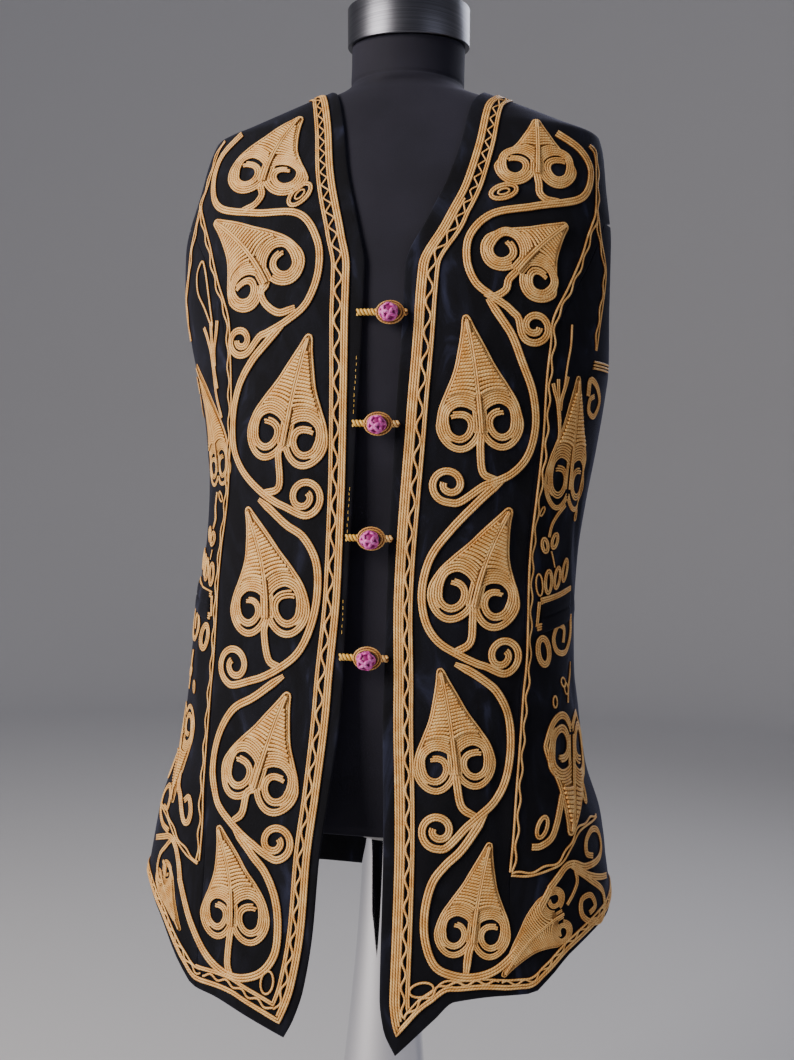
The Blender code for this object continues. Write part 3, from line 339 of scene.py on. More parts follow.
# Zinc alloy under pale enamel, sprayed: smooth, half gloss
enamel, tree, shader = newMaterial("paleEnamel", "#cdcdd0", 0.32, Coat_Weight=0.25)
here = addNode(tree, "ShaderNodeTexCoord").outputs["Object"]
tree.links.new(ramp(tree, grain(tree, here, 40), ((0.3, "#c4c4c8"), (0.7, "#d6d6d8"))), shader.inputs["Base Color"])
bump(tree, shader, grain(tree, here, 900, 2), 0.0001, 0.2)
print("materials ready")


def newPiece(name, points, faces, material, replaced=()):
    mesh = bpy.data.meshes.new(name)
    mesh.from_pydata(np.asarray(points, float).tolist(), [], faces)
    mesh.materials.append(material)
    mesh.shade_smooth()
    thing = bpy.data.objects.new(name, mesh)
    bpy.context.scene.collection.objects.link(thing)
    return settle(thing, replaced)


def settle(thing, replaced):
    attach(thing, "root")
    if replaced:
        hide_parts(*replaced)
    return thing


def gridFaces(rows, across):
    corners = [r * across + c for r in range(rows - 1) for c in range(across - 1)]
    return [(a, a + 1, a + across + 1, a + across) for a in corners]


def wallFaces(faces, count):  # the same faces on an outer and an inner set of points, joined at the rim
    edges = [edge for face in faces for edge in zip(face, face[1:] + face[:1])]
    inward = {(b, a) for a, b in edges}
    rim = [edge for edge in edges if edge not in inward]
    return (faces + [tuple(count + i for i in reversed(face)) for face in faces]
            + [(b, a, count + a, count + b) for a, b in rim])


def outwardFaces(points, faces):  # turned so that the first half of the faces looks away from the wearer
    a, b, c = (np.asarray(points[i]) for i in faces[len(faces) // 3][:3])
    middle = np.array([0, 0, a[2]])
    return faces if np.dot(np.cross(b - a, c - a), a - middle) > 0 else [tuple(reversed(f)) for f in faces]


# Cord by Geometry Nodes: a swept round along each path, flattened towards the cloth
def cordTree():
    group = bpy.data.node_groups.new("couchedCord", "GeometryNodeTree")
    face = group.interface
    face.new_socket("Geometry", in_out="INPUT", socket_type="NodeSocketGeometry")
    face.new_socket("Sides", in_out="INPUT", socket_type="NodeSocketInt")
    face.new_socket("Flatness", in_out="INPUT", socket_type="NodeSocketFloat")
    face.new_socket("Material", in_out="INPUT", socket_type="NodeSocketMaterial")
    face.new_socket("Geometry", in_out="OUTPUT", socket_type="NodeSocketGeometry")
    given = addNode(group, "NodeGroupInput").outputs
    lines = addNode(group, "GeometryNodeMeshToCurve", links={"Mesh": given["Geometry"]}).outputs[0]
    normal = addNode(group, "GeometryNodeInputNamedAttribute", {"Name": "clothNormal"}, data_type="FLOAT_VECTOR")
    facing = addNode(group, "GeometryNodeSetCurveNormal", links={"Curve": lines, "Normal": normal.outputs[0]},
                     mode="FREE").outputs[0]
    radius = addNode(group, "GeometryNodeInputNamedAttribute", {"Name": "cordRadius"}, data_type="FLOAT")
    sized = addNode(group, "GeometryNodeSetCurveRadius",
                    links={"Curve": facing, "Radius": radius.outputs[0]}).outputs[0]
    run = addNode(group, "GeometryNodeSplineParameter").outputs["Length"]
    measured = addNode(group, "GeometryNodeStoreNamedAttribute", {"Name": "cordRun"},
                       {"Geometry": sized, "Value": run}, data_type="FLOAT", domain="POINT").outputs[0]
    ring = addNode(group, "GeometryNodeCurvePrimitiveCircle", {"Radius": 1.0},
                   {"Resolution": given["Sides"]}).outputs[0]
    flat = addNode(group, "ShaderNodeCombineXYZ", {"Y": 1.0, "Z": 1.0}, {"X": given["Flatness"]}).outputs[0]
    pressed = addNode(group, "GeometryNodeTransform", {"Rotation": (0, 0, math.pi)},
                      {"Geometry": ring, "Scale": flat}).outputs[0]
    around = addNode(group, "GeometryNodeSplineParameter").outputs["Factor"]
    profile = addNode(group, "GeometryNodeStoreNamedAttribute", {"Name": "cordRound"},
                      {"Geometry": pressed, "Value": around}, data_type="FLOAT", domain="POINT").outputs[0]
    swept = addNode(group, "GeometryNodeCurveToMesh", {"Fill Caps": True},
                    {"Curve": measured, "Profile Curve": profile})
    if "Scale" in swept.inputs:
        group.links.new(radius.outputs[0], swept.inputs["Scale"])
    whole = addNode(group, "GeometryNodeRealizeInstances", links={"Geometry": swept.outputs[0]}).outputs[0]
    smooth = addNode(group, "GeometryNodeSetShadeSmooth", {"Shade Smooth": True}, {"Geometry": whole}).outputs[0]
    dyed = addNode(group, "GeometryNodeSetMaterial", links={"Geometry": smooth, "Material": given["Material"]})
    addNode(group, "NodeGroupOutput", links={"Geometry": dyed.outputs[0]})
    return group


couchedCord = cordTree()


def sweepCords(name, runs, material, replaced=(), sides=6, flatness=0.8):
    """runs are (points, normals, radii, closed)"""
    points = np.concatenate([run[0] for run in runs])
    normals = np.concatenate([run[1] for run in runs])
    radii = np.concatenate([np.broadcast_to(run[2], len(run[0])) for run in runs])
    edges = []
    start = 0
    for run in runs:
        count = len(run[0])
        edges += [(start + i, start + i + 1) for i in range(count - 1)]
        if run[3]:
            edges.append((start + count - 1, start))
        start += count
    mesh = bpy.data.meshes.new(name + ".paths")
    mesh.from_pydata(points.tolist(), edges, [])
    mesh.attributes.new("clothNormal", "FLOAT_VECTOR", "POINT").data.foreach_set("vector", normals.ravel())
    mesh.attributes.new("cordRadius", "FLOAT", "POINT").data.foreach_set("value", radii.astype(np.float32))
    rough = bpy.data.objects.new(name + ".paths", mesh)
    bpy.context.scene.collection.objects.link(rough)
    modifier = rough.modifiers.new("cord", "NODES")
    modifier.node_group = couchedCord
    socket = {item.name: item.identifier for item in couchedCord.interface.items_tree if item.in_out == "INPUT"}
    modifier[socket["Sides"]] = sides
    modifier[socket["Flatness"]] = float(flatness)
    modifier[socket["Material"]] = material
    evaluated = rough.evaluated_get(bpy.context.evaluated_depsgraph_get())
    made = bpy.data.meshes.new_from_object(evaluated)
    made.name = name
    bpy.data.objects.remove(rough)
    thing = bpy.data.objects.new(name, made)
    bpy.context.scene.collection.objects.link(thing)
    return settle(thing, replaced)


def smoothPath(points, step, closed=False):  # Catmull-Rom through given points, evenly spaced
    p = np.asarray(points, float)
    p = np.vstack([p[-1:], p, p[:2]]) if closed else np.vstack([2 * p[0] - p[1], p, 2 * p[-1] - p[-2]])
    t = np.linspace(0, 1, 16, endpoint=False)[:, None]
    fine = [0.5 * (2 * b + (c - a) * t + (2 * a - 5 * b + 4 * c - d) * t * t + (3 * b - a - 3 * c + d) * t ** 3)
            for a, b, c, d in zip(p, p[1:], p[2:], p[3:])]
    fine = np.vstack(fine + ([] if closed else [p[-2:-1]]))
    if closed:
        fine = np.vstack([fine, fine[:1]])
    return evenly(fine, step)


def evenly(fine, step):
    along = np.concatenate([[0], np.cumsum(np.linalg.norm(np.diff(fine, axis=0), axis=1))])
    stops = np.linspace(0, along[-1], max(2, round(along[-1] / step)) + 1)
    return np.stack([np.interp(stops, along, fine[:, k]) for k in (0, 1)], 1)


def beside(path, distance):  # the same path moved sideways on the cloth, plus to the left of its run
    run = np.gradient(path, axis=0)
    run /= np.maximum(np.linalg.norm(run, axis=1, keepdims=True), 1e-9)
    return path + np.stack([-run[:, 1], run[:, 0]], 1) * np.asarray(distance).reshape(-1, 1)


def laid(path, radius, lift=0.0, closed=False, flatness=0.8):  # one cord resting on the cloth
    radius = np.broadcast_to(radius, len(path))
    points, normals = onCloth(path, lift + radius * flatness)
    return points, normals, radius, closed


def wavy(path, period, amplitude, sharp=0.0):  # a path that snakes about another, or zigzags where sharp
    step = np.concatenate([[0], np.linalg.norm(np.diff(path, axis=0), axis=1)])
    wave = np.sin(np.cumsum(step / period) * math.tau)
    return beside(path, amplitude * (wave * (1 - sharp) + np.arcsin(0.985 * wave) / 1.40 * sharp))


# Velvet panels
panels = {"rowsPerStep": 6, "frontColumns": 38, "goreColumns": 22, "backColumns": 34,
          "rim": ((0.0, 0.0007), (0.0006, 0.0002), (0.0016, 0.0))}
leftEdge = (
    (0.405, 0.0305), (0.424, 0.0205), (0.450, 0.0163), (0.556, 0.0151), (0.691, 0.0101), (0.802, 0.0100),
    (0.922, 0.0142), (1.005, 0.0178), (1.052, 0.0182), (1.097, 0.0359), (1.134, 0.0508), (1.168, 0.0593),
    (1.207, 0.0660), (1.222, 0.0760), (1.235, 0.0944),
)
rightEdge = (
    (0.410, 0.0633), (0.424, 0.0560), (0.450, 0.0478), (0.498, 0.0415), (0.552, 0.0390), (0.606, 0.0330),
    (0.689, 0.0250), (0.801, 0.0230), (0.871, 0.0205), (1.022, 0.0156), (1.052, 0.0159), (1.084, 0.0226),
    (1.140, 0.0370), (1.200, 0.0490), (1.222, 0.0575), (1.229, 0.0690), (1.235, 0.0944),
)
leftHem = (
    (0.0305, 0.405), (0.060, 0.434), (0.076, 0.448), (0.115, 0.452), (0.141, 0.452), (0.156, 0.461),
    (0.181, 0.479), (0.229, 0.497), (0.280, 0.503), (0.380, 0.486), (0.560, 0.476),
)
rightHem = (
    (0.0633, 0.410), (0.094, 0.421), (0.127, 0.432), (0.150, 0.436), (0.166, 0.448), (0.206, 0.484),
    (0.250, 0.503), (0.300, 0.503), (0.400, 0.486), (0.590, 0.476),
)
leftSeam = (
    (0.440, 0.1210), (0.553, 0.1210), (0.624, 0.1245), (0.654, 0.1262), (0.739, 0.1295), (0.807, 0.1295),
    (0.858, 0.1325), (0.905, 0.1385), (0.955, 0.1425), (1.000, 0.1500), (1.030, 0.1640), (1.065, 0.1840),
    (1.105, 0.2030),
)
rightSeam = (
    (0.440, 0.1490), (0.536, 0.1490), (0.623, 0.1540), (0.693, 0.1560), (0.763, 0.1565), (0.835, 0.1510),
    (0.923, 0.1478), (0.984, 0.1478), (1.020, 0.1540), (1.060, 0.1720), (1.105, 0.2050),
)
armholeFront = (
    (0.968, 91.0), (0.976, 85.0), (1.000, 79.5), (1.035, 77.0), (1.080, 77.0), (1.130, 79.5), (1.172, 84.0),
    (1.189, 90.0),
)
armholeBack = (
    (0.968, 91.0), (0.976, 97.0), (1.000, 103.5), (1.035, 107.5), (1.080, 108.5), (1.130, 105.0),
    (1.168, 98.0), (1.189, 90.0),
)
sideSeam = ((0.450, 97.0), (0.600, 96.0), (0.750, 94.0), (0.968, 91.0))
# How far the wide and the narrow braid run from a front's edge
leftBraid = (
    (0.420, 0.0125, 0.0220), (0.500, 0.0140, 0.0235), (0.600, 0.0145, 0.0240), (0.690, 0.0135, 0.0230),
    (0.770, 0.0110, 0.0200), (0.850, 0.0125, 0.0225), (0.940, 0.0140, 0.0245), (1.020, 0.0150, 0.0260),
    (1.100, 0.0180, 0.0290), (1.190, 0.0165, 0.0265),
)
rightBraid = (
    (0.420, 0.0115, 0.0200), (0.500, 0.0105, 0.0190), (0.600, 0.0115, 0.0200), (0.690, 0.0130, 0.0225),
    (0.780, 0.0095, 0.0185), (0.860, 0.0105, 0.0195), (0.940, 0.0130, 0.0225), (1.020, 0.0160, 0.0265),
    (1.100, 0.0165, 0.0270), (1.190, 0.0145, 0.0235),
)


def shifted(turn, height, distance):
    if abs(abs(turn) - quarter) < 1e-6:
        depth = (frontDepth if distance * turn < 0 else backDepth)(height)
        return turn + math.copysign(float(abs(distance) / depth) ** (cloth["squareness"] / 2), distance)
    return float(turnAt(wayRound(turn, height) + distance, height)[0])


def mix(a, b, share):
    return a + (b - a) * share


class Side:
    """What a front, its gore and half the back share."""

    def __init__(self, name, sign, edge, hem, seam, braid):
        self.name, self.sign, self.tip = name, sign, edge[0][0]
        self.edge, self.hem, self.seam = curveThrough(edge), curveThrough(hem), curveThrough(seam)
        self.wide = curveThrough([(row[0], row[1]) for row in braid])
        self.narrow = curveThrough([(row[0], row[2]) for row in braid])
        self.armFront = curveThrough([(z, math.radians(t)) for z, t in armholeFront])
        self.armBack = curveThrough([(z, math.radians(t)) for z, t in armholeBack])
        self.under = curveThrough([(z, math.radians(t)) for z, t in sideSeam])
        self.frontFoot = float(self.hem(self.seam(cloth["hemLevel"])))
        self.sideFoot = float(self.hem(wayRound(float(self.under(cloth["hemLevel"])), cloth["hemLevel"])))
        self.backFoot = float(self.hem(wayRound(math.pi, cloth["hemLevel"])))

    def edgePlace(self, row):
        if row == 0:
            return self.sign * shifted(quarter, cloth["neckPoint"], -cloth["seamGap"] / 2), cloth["neckPoint"]
        if row <= cloth["veeRow"]:
            height = mix(cloth["neckPoint"], cloth["veeBottom"], row / cloth["veeRow"])
        else:
            height = mix(cloth["veeBottom"], self.tip,
                         (row - cloth["veeRow"]) / (cloth["lastRow"] - cloth["veeRow"]))
        return float(turnAt(self.sign * self.edge(height), height)[0]), height

    def seamPlace(self, row, gap):
        if row == 0:
            return self.sign * shifted(quarter, cloth["shoulderPoint"], -cloth["seamGap"] / 2), cloth["shoulderPoint"]
        if row < cloth["goreRow"]:
            height = mix(cloth["shoulderPoint"], cloth["goreTop"], row / cloth["goreRow"])
            return self.sign * float(self.armFront(height)), height
        height = mix(cloth["goreTop"], self.frontFoot,
                     (row - cloth["goreRow"]) / (cloth["lastRow"] - cloth["goreRow"]))
        return float(turnAt(self.sign * (self.seam(height) + gap), height)[0]), height

    def sidePlace(self, row, gap):
        if row == 0:
            return self.sign * shifted(quarter, cloth["shoulderPoint"], cloth["seamGap"] / 2), cloth["shoulderPoint"]
        if row < cloth["armRow"]:
            height = mix(cloth["shoulderPoint"], cloth["underarm"], row / cloth["armRow"])
            return self.sign * float(self.armBack(height)), height
        height = mix(cloth["underarm"], self.sideFoot,
                     (row - cloth["armRow"]) / (cloth["lastRow"] - cloth["armRow"]))
        return self.sign * shifted(float(self.under(height)), height, gap), height

    def goreBackPlace(self, row, gap):
        if row < cloth["armRow"]:
            height = mix(cloth["goreTop"], cloth["underarm"],
                         (row - cloth["goreRow"]) / (cloth["armRow"] - cloth["goreRow"]))
            return self.sign * float(self.armFront(height)), height
        return self.sidePlace(row, gap)

    def middlePlace(self, row):
        if row == 0:
            return self.sign * shifted(quarter, cloth["neckPoint"], cloth["seamGap"] / 2), cloth["neckPoint"]
        if row < cloth["neckRow"]:
            share = row / cloth["neckRow"]
            fall = cloth["napeDrop"] * math.sin(quarter * share)
            return self.sign * (quarter + (math.pi - quarter) * share), cloth["neckPoint"] - fall
        share = (row - cloth["neckRow"]) / (cloth["lastRow"] - cloth["neckRow"])
        return self.sign * math.pi, mix(cloth["neckPoint"] - cloth["napeDrop"], self.backFoot, share)

    def hemAt(self, turns):
        return self.hem([abs(wayRound(float(t), cloth["hemLevel"])) for t in turns])

    def corner(self, offset):
        height = self.tip
        for _ in range(40):
            way = float(self.edge(height) + offset(height) * 1.15)
            height = mix(height, float(self.hem(way)) + 0.0085 * 1.1, 0.5)
        return way, height


def fineRows(first, last):
    """Rows of a panel, closer over the shoulder and beside both ends."""
    steps = panels["rowsPerStep"]
    rows = [first + i / (2 * steps) for i in range(4 * steps)] if first == 0 else []
    start = rows[-1] if rows else first - 1 / steps
    rows += [start + (i + 1) / steps for i in range(round((last - start) * steps) - 1)]
    inner = [r for r in rows if first + 0.08 < r < last - 0.08]
    return [first, first + 0.02, first + 0.05] + inner + [last - 0.05, last - 0.02, last]


def panelGrid(first, last, columns, rows, hemAt):
    """(turn, height, depth below the face) on a grid with a rounded rim."""
    first, last = np.array(first), np.array(last)
    width = 0.15
    near = [0.0006 / width, 0.0016 / width]
    shares = [0.0] + near + list(np.linspace(0, 1, columns + 1)[1:-1]) + [1 - near[1], 1 - near[0], 1.0]
    sink = np.zeros((len(rows), len(shares)))
    for k, (_, depth) in enumerate(panels["rim"]):
        for line in (sink[k], sink[-1 - k], sink[:, k], sink[:, -1 - k]):
            line[:] = np.maximum(line, depth)
    shares = np.array(shares)
    turns = first[:, :1] + (last[:, :1] - first[:, :1]) * shares
    heights = first[:, 1:] + (last[:, 1:] - first[:, 1:]) * shares
    foot = heights[-1]
    drop = hemAt(turns[-1]) - foot
    heights = heights + drop * (np.array(rows)[:, None] / cloth["lastRow"]) ** 8
    return turns, heights, sink


def velvetPiece(name, turns, heights, sink, faces, flat, area, held, restsOn):
    outer = clothPoint(turns.ravel(), heights.ravel(), -sink.ravel())
    inner = clothPoint(turns.ravel(), heights.ravel(), sink.ravel() - cloth["wall"])
    faces = outwardFaces(outer, faces)
    points = np.vstack([outer, inner])
    piece = newPiece("velvet_" + name, points, wallFaces(faces, len(outer)), velvet, [name])
    return piece


left = Side("left", 1, leftEdge, leftHem, leftSeam, leftBraid)
right = Side("right", -1, rightEdge, rightHem, rightSeam, rightBraid)
cuts = {"front_left": ((0.190, 0.855), 0.111), "front_right": ((0.190, 0.850), 0.108),
        "gore_left": ((0.215, 0.660), 0.081), "gore_right": ((0.215, 0.660), 0.081), "back": ((0.640, 0.780), 0.380)}
gap = cloth["seamGap"] / 2
for side in (left, right):
    rows = fineRows(0, cloth["lastRow"])
    grid = panelGrid([side.edgePlace(r) for r in rows], [side.seamPlace(r, -gap) for r in rows],
                     panels["frontColumns"], rows, side.hemAt)
    name = "front_" + side.name
    velvetPiece(name, *grid, gridFaces(*grid[0].shape), *cuts[name], "hung", ["form_torso"])
    rows = fineRows(cloth["goreRow"], cloth["lastRow"])
    grid = panelGrid([side.seamPlace(r, gap) for r in rows], [side.goreBackPlace(r, -gap) for r in rows],
                     panels["goreColumns"], rows, side.hemAt)
    name = "gore_" + side.name
    velvetPiece(name, *grid, gridFaces(*grid[0].shape), *cuts[name], "hung", ["front_" + side.name, "back"])
rows = fineRows(0, cloth["lastRow"])
halves = []
for side in (left, right):
    halves.append(panelGrid([side.sidePlace(r, gap) for r in rows], [side.middlePlace(r) for r in rows],
                            panels["backColumns"], rows, side.hemAt))
across = halves[0][0].shape[1]
count = len(rows) * across
neckRows = [r for r, row in enumerate(rows) if row >= cloth["neckRow"]]
for _, _, sink in halves:
    sink[neckRows[3]:-3, -3:] = 0
    for k in range(3):
        sink[neckRows[3]:, -1 - k] = sink[neckRows[3]:, -4]
twin = {count + r * across + across - 1: r * across + across - 1 for r in neckRows}
faces = gridFaces(len(rows), across)
faces += [tuple(twin.get(count + i, count + i) for i in reversed(face)) for face in faces]
kept = [i for i in range(2 * count) if i not in twin]
renumbered = {i: n for n, i in enumerate(kept)}
faces = [tuple(renumbered[i] for i in face) for face in faces]
joined = [np.concatenate([half[k].ravel() for half in halves])[kept] for k in range(3)]
velvetPiece("back", *joined, faces, *cuts["back"], "hung", ["form_torso"])
print("velvet ready")

# Dress form: jersey over foam, from the cloth's own section less the wall and the ease
form = {"sides": 120, "bottom": 0.564, "neckRadius": 0.053, "neckTop": 1.281, "tilt": math.radians(8),
        "seamHeight": 1.2435, "seamDepth": 0.0009}
easeTable = (
    (0.564, 0.064, 0.044, 0.044, 0.030), (0.590, 0.052, 0.032, 0.034, 0.022), (0.640, 0.036, 0.016, 0.022, 0.012),
    (0.700, 0.030, 0.009, 0.014, 0.006), (0.780, 0.032, 0.015, 0.013, 0.006), (0.840, 0.030, 0.025, 0.012, 0.007),
    (0.905, 0.024, 0.026, 0.008, 0.006), (0.975, 0.022, 0.022, 0.004, 0.004), (1.050, 0.034, 0.024, 0.0025, 0.003),
    (1.110, 0.028, 0.019, 0.0020, 0.0026), (1.165, 0.014, 0.012, 0.0018, 0.0042), (1.189, 0.005, 0.005, 0.0016, 0.0044),
    (1.200, 0.0018, 0.0018, 0.0016, 0.0024), (1.235, 0.0014, 0.0014, 0.0016, 0.0016),
)
formHeights = (0.564, 0.600, 0.670, 0.750, 0.820, 0.890, 0.960, 1.030, 1.090, 1.140, 1.170, 1.189, 1.200, 1.213,
               1.226, 1.234)
ease = [curveThrough([(row[0], row[k]) for row in easeTable]) for k in (1, 2, 3, 4)]


def tilted(radius, height, sides, tilt):
    turn = math.tau * (np.arange(sides) + 0.5) / sides
    return np.stack([radius * np.sin(turn), -radius * np.cos(turn) * math.cos(tilt),
                     height - radius * np.cos(turn) * math.sin(tilt)], 1)


def formRings():
    turn = wrapped(math.tau * (np.arange(form["sides"]) + 0.5) / form["sides"])
    share = np.abs(np.sin(turn)) ** 4
    rings = []
    for height in formHeights:
        roundEase = [float(curve(height)) for curve in ease]
        face = np.where(np.abs(turn) < quarter, roundEase[2], roundEase[3])
        flank = np.where(turn < 0, roundEase[0], roundEase[1])
        room = cloth["wall"] + face * (1 - share) + flank * share
        ring = bodySection(turn, np.full(len(turn), height))
        ring = ring - sectionNormal(turn, np.full(len(turn), height)) * room[:, None]
        if height < 1.15:
            ring[:, 2] = height
        rings.append(ring)
    for radius, height, lean in ((form["neckRadius"] + 0.001, 1.2405, 0.25), (form["neckRadius"], 1.252, 0.5),
                                 (form["neckRadius"], form["neckTop"], 1.0)):
        rings.append(tilted(radius, height, form["sides"], form["tilt"] * lean))
    return np.array(rings)


def loft(rings, steps):  # more rings on a smooth curve through the given ones
    p = np.concatenate([rings[:1], rings, rings[-1:]])
    out = []
    for a, b, c, d in zip(p, p[1:], p[2:], p[3:]):
        ab, bc, cd = (np.linalg.norm(v - u, axis=1)[:, None].mean() + 1e-9 for u, v in ((a, b), (b, c), (c, d)))
        m1 = ((b - a) / ab + (c - b) / bc) / 2 if ab > 1e-6 else (c - b) / bc
        m2 = ((c - b) / bc + (d - c) / cd) / 2 if cd > 1e-6 else (c - b) / bc
        for t in np.linspace(0, 1, steps, endpoint=False):
            out.append((1 + 2 * t) * (1 - t) ** 2 * b + t * t * (3 - 2 * t) * c
                       + bc * (t * (1 - t) ** 2 * m1 + t * t * (t - 1) * m2))
    return out + [rings[-1]]


def tubeFaces(rows, sides):
    faces = [(r * sides + s, r * sides + (s + 1) % sides, (r + 1) * sides + (s + 1) % sides, (r + 1) * sides + s)
             for r in range(rows - 1) for s in range(sides)]
    return faces + [tuple(reversed(range(sides))), tuple(range((rows - 1) * sides, rows * sides))]


rings = loft(formRings(), 7)
middles = [ring.mean(0) for ring in rings]
for ring, middle in zip(rings, middles):
    pinch = form["seamDepth"] * math.exp(-(((middle[2] - form["seamHeight"]) / 0.0012) ** 2))
    ring[:, :2] -= (ring[:, :2] - middle[:2]) / form["neckRadius"] * pinch
bottom = rings[0]
lip = [bottom * (0.985, 0.985, 1) + (0, 0, 0.0), bottom * (0.996, 0.996, 1) + (0, 0, 0.0008)]
rings = lip[:1] + lip[1:] + [bottom + (0, 0, 0.003)] + rings[1:]
torso = newPiece("jersey_torso", np.vstack(rings), tubeFaces(len(rings), form["sides"]), jersey,
                 ["form_torso"])


def turned(name, profile, sides, material, replaced, tilt=0.0, pivot=0.0):
    """A lathe-turned piece: the profile is (radius, height) from the bottom up."""
    points = []
    for radius, height in profile:
        ring = tilted(radius, pivot, sides, tilt)
        points.append(ring + np.array([0, -math.sin(tilt), math.cos(tilt)]) * (height - pivot))
    piece = newPiece(name, np.vstack(points), tubeFaces(len(profile), sides), material, replaced)
    piece.data.set_sharp_from_angle(angle=math.radians(32))
    return piece


neckTop = form["neckTop"]
cap = {"radius": 0.057, "bottom": neckTop + 0.0003, "top": neckTop + 0.0353, "edge": 0.0012}
turned("steel_neck_cap", (
    (cap["radius"] - 0.0034, cap["bottom"]), (cap["radius"] - 0.0005, cap["bottom"]), (cap["radius"], cap["bottom"] + 0.0006),
    (cap["radius"], cap["top"] - cap["edge"]), (cap["radius"] - cap["edge"] / 3, cap["top"] - cap["edge"] / 3),
    (cap["radius"] - cap["edge"], cap["top"]), (cap["radius"] - 0.008, cap["top"]), (cap["radius"] - 0.012, cap["top"] - 0.0008),
), 144, brushedSteel, ["neck_cap"], form["tilt"], neckTop)

stand = {"sides": 128, "flange": 0.030}
turned("enamel_flange", (
    (0.0286, 0.5457), (0.0296, 0.5459), (0.030, 0.5467), (0.030, 0.5627), (0.0296, 0.5635), (0.0286, 0.5637),
), 96, enamel, ["flange"])
standProfile = (
    (0.0245, 0.5454), (0.0250, 0.520), (0.0275, 0.460), (0.0325, 0.390), (0.0400, 0.310), (0.0500, 0.230),
    (0.0640, 0.155), (0.0840, 0.092), (0.1100, 0.046), (0.1380, 0.019), (0.1540, 0.010), (0.1580, 0.006), (0.1580, 0.000),
)
along = np.concatenate([[0], np.cumsum([math.dist(a, b) for a, b in zip(standProfile, standProfile[1:])])])
radiusAt = curveThrough(list(zip(along, [p[0] for p in standProfile])))
heightAt = curveThrough(list(zip(along, [p[1] for p in standProfile])))
stops = np.linspace(0, along[-1], 90)[::-1]
profile = [(float(radiusAt(s)), max(float(heightAt(s)), 0.0)) for s in stops]
turned("chrome_stand", [(0.150, 0.0)] + profile, stand["sides"], chrome, ["stand"])
print("dress form ready")

# Borders: a band of three or four cords by the edge, a zigzag, two thinner cords; the band turns along the hem
braid = {"cord": 0.00112, "pitch": 0.0022, "thin": 0.00095, "zigzag": 0.00092, "hem": 0.0095}
zigzagPeriod = curveThrough(((0.40, 0.018), (0.60, 0.024), (1.00, 0.026), (1.06, 0.020), (1.11, 0.013), (1.23, 0.011)))
# Height of the hem band's foot above the edge, and its width, on the way round
hemFoot = {"left": ((0.03, 0.0120), (0.05, 0.0150), (0.065, 0.0120), (0.08, 0.0090), (0.10, 0.0080), (0.12, 0.0058)),
           "right": ((0.06, 0.0092), (0.11, 0.0108), (0.13, 0.0085), (0.155, 0.0060))}
hemWidth = {"left": ((0.03, 0.0090), (0.06, 0.0080), (0.16, 0.0074)),
            "right": ((0.06, 0.0115), (0.14, 0.0110), (0.18, 0.0076))}


def besideEdge(side, heights, distance):  # a line down a front at a distance from its edge
    lean = (side.edge(heights + 0.004) - side.edge(heights - 0.004)) / 0.008
    way = side.edge(heights) + distance * np.hypot(1, lean)
    reach = [0.97 * wayRound(quarter, h) for h in heights]
    return np.stack([np.minimum(way, reach), heights], 1)


def aboveHem(side, ways, share, lift=0.0):  # a line along the hem, from the band's foot (0) to its top (1)
    lean = (side.hem(ways + 0.003) - side.hem(ways - 0.003)) / 0.006
    foot = np.interp(ways, *zip(*hemFoot[side.name]))
    wide = np.interp(ways, *zip(*hemWidth[side.name]))
    return np.stack([ways, side.hem(ways) + (foot + wide * share + lift) * np.sqrt(np.hypot(1, lean))], 1)


def roundTip(side, distance, share, lift, top, foot):
    """Down beside the edge, round the tip and along the hem: a path and where it turns."""
    height = side.tip + 0.02
    for _ in range(60):
        way = float(besideEdge(side, np.array([height]), distance(np.array([height])))[0, 0])
        height = mix(height, float(aboveHem(side, np.array([way]), share, lift)[0, 1]), 0.5)
    heights = np.arange(top, height, -0.006)
    down = besideEdge(side, heights[:-1], distance(heights[:-1]))
    along = aboveHem(side, np.arange(way + 0.004, foot, 0.006), share, lift)
    return down, np.array([[way, height]]), along


def turned_(side, parts, step=0.003):
    """Both arms smoothed for themselves, with a sharp turn between them."""
    down, corner, along = parts
    path = smoothPath(np.vstack([down, corner]), step)
    if len(along):
        path = np.vstack([path, smoothPath(np.vstack([corner, along]), step)[1:]])
    return path * (side.sign, 1)


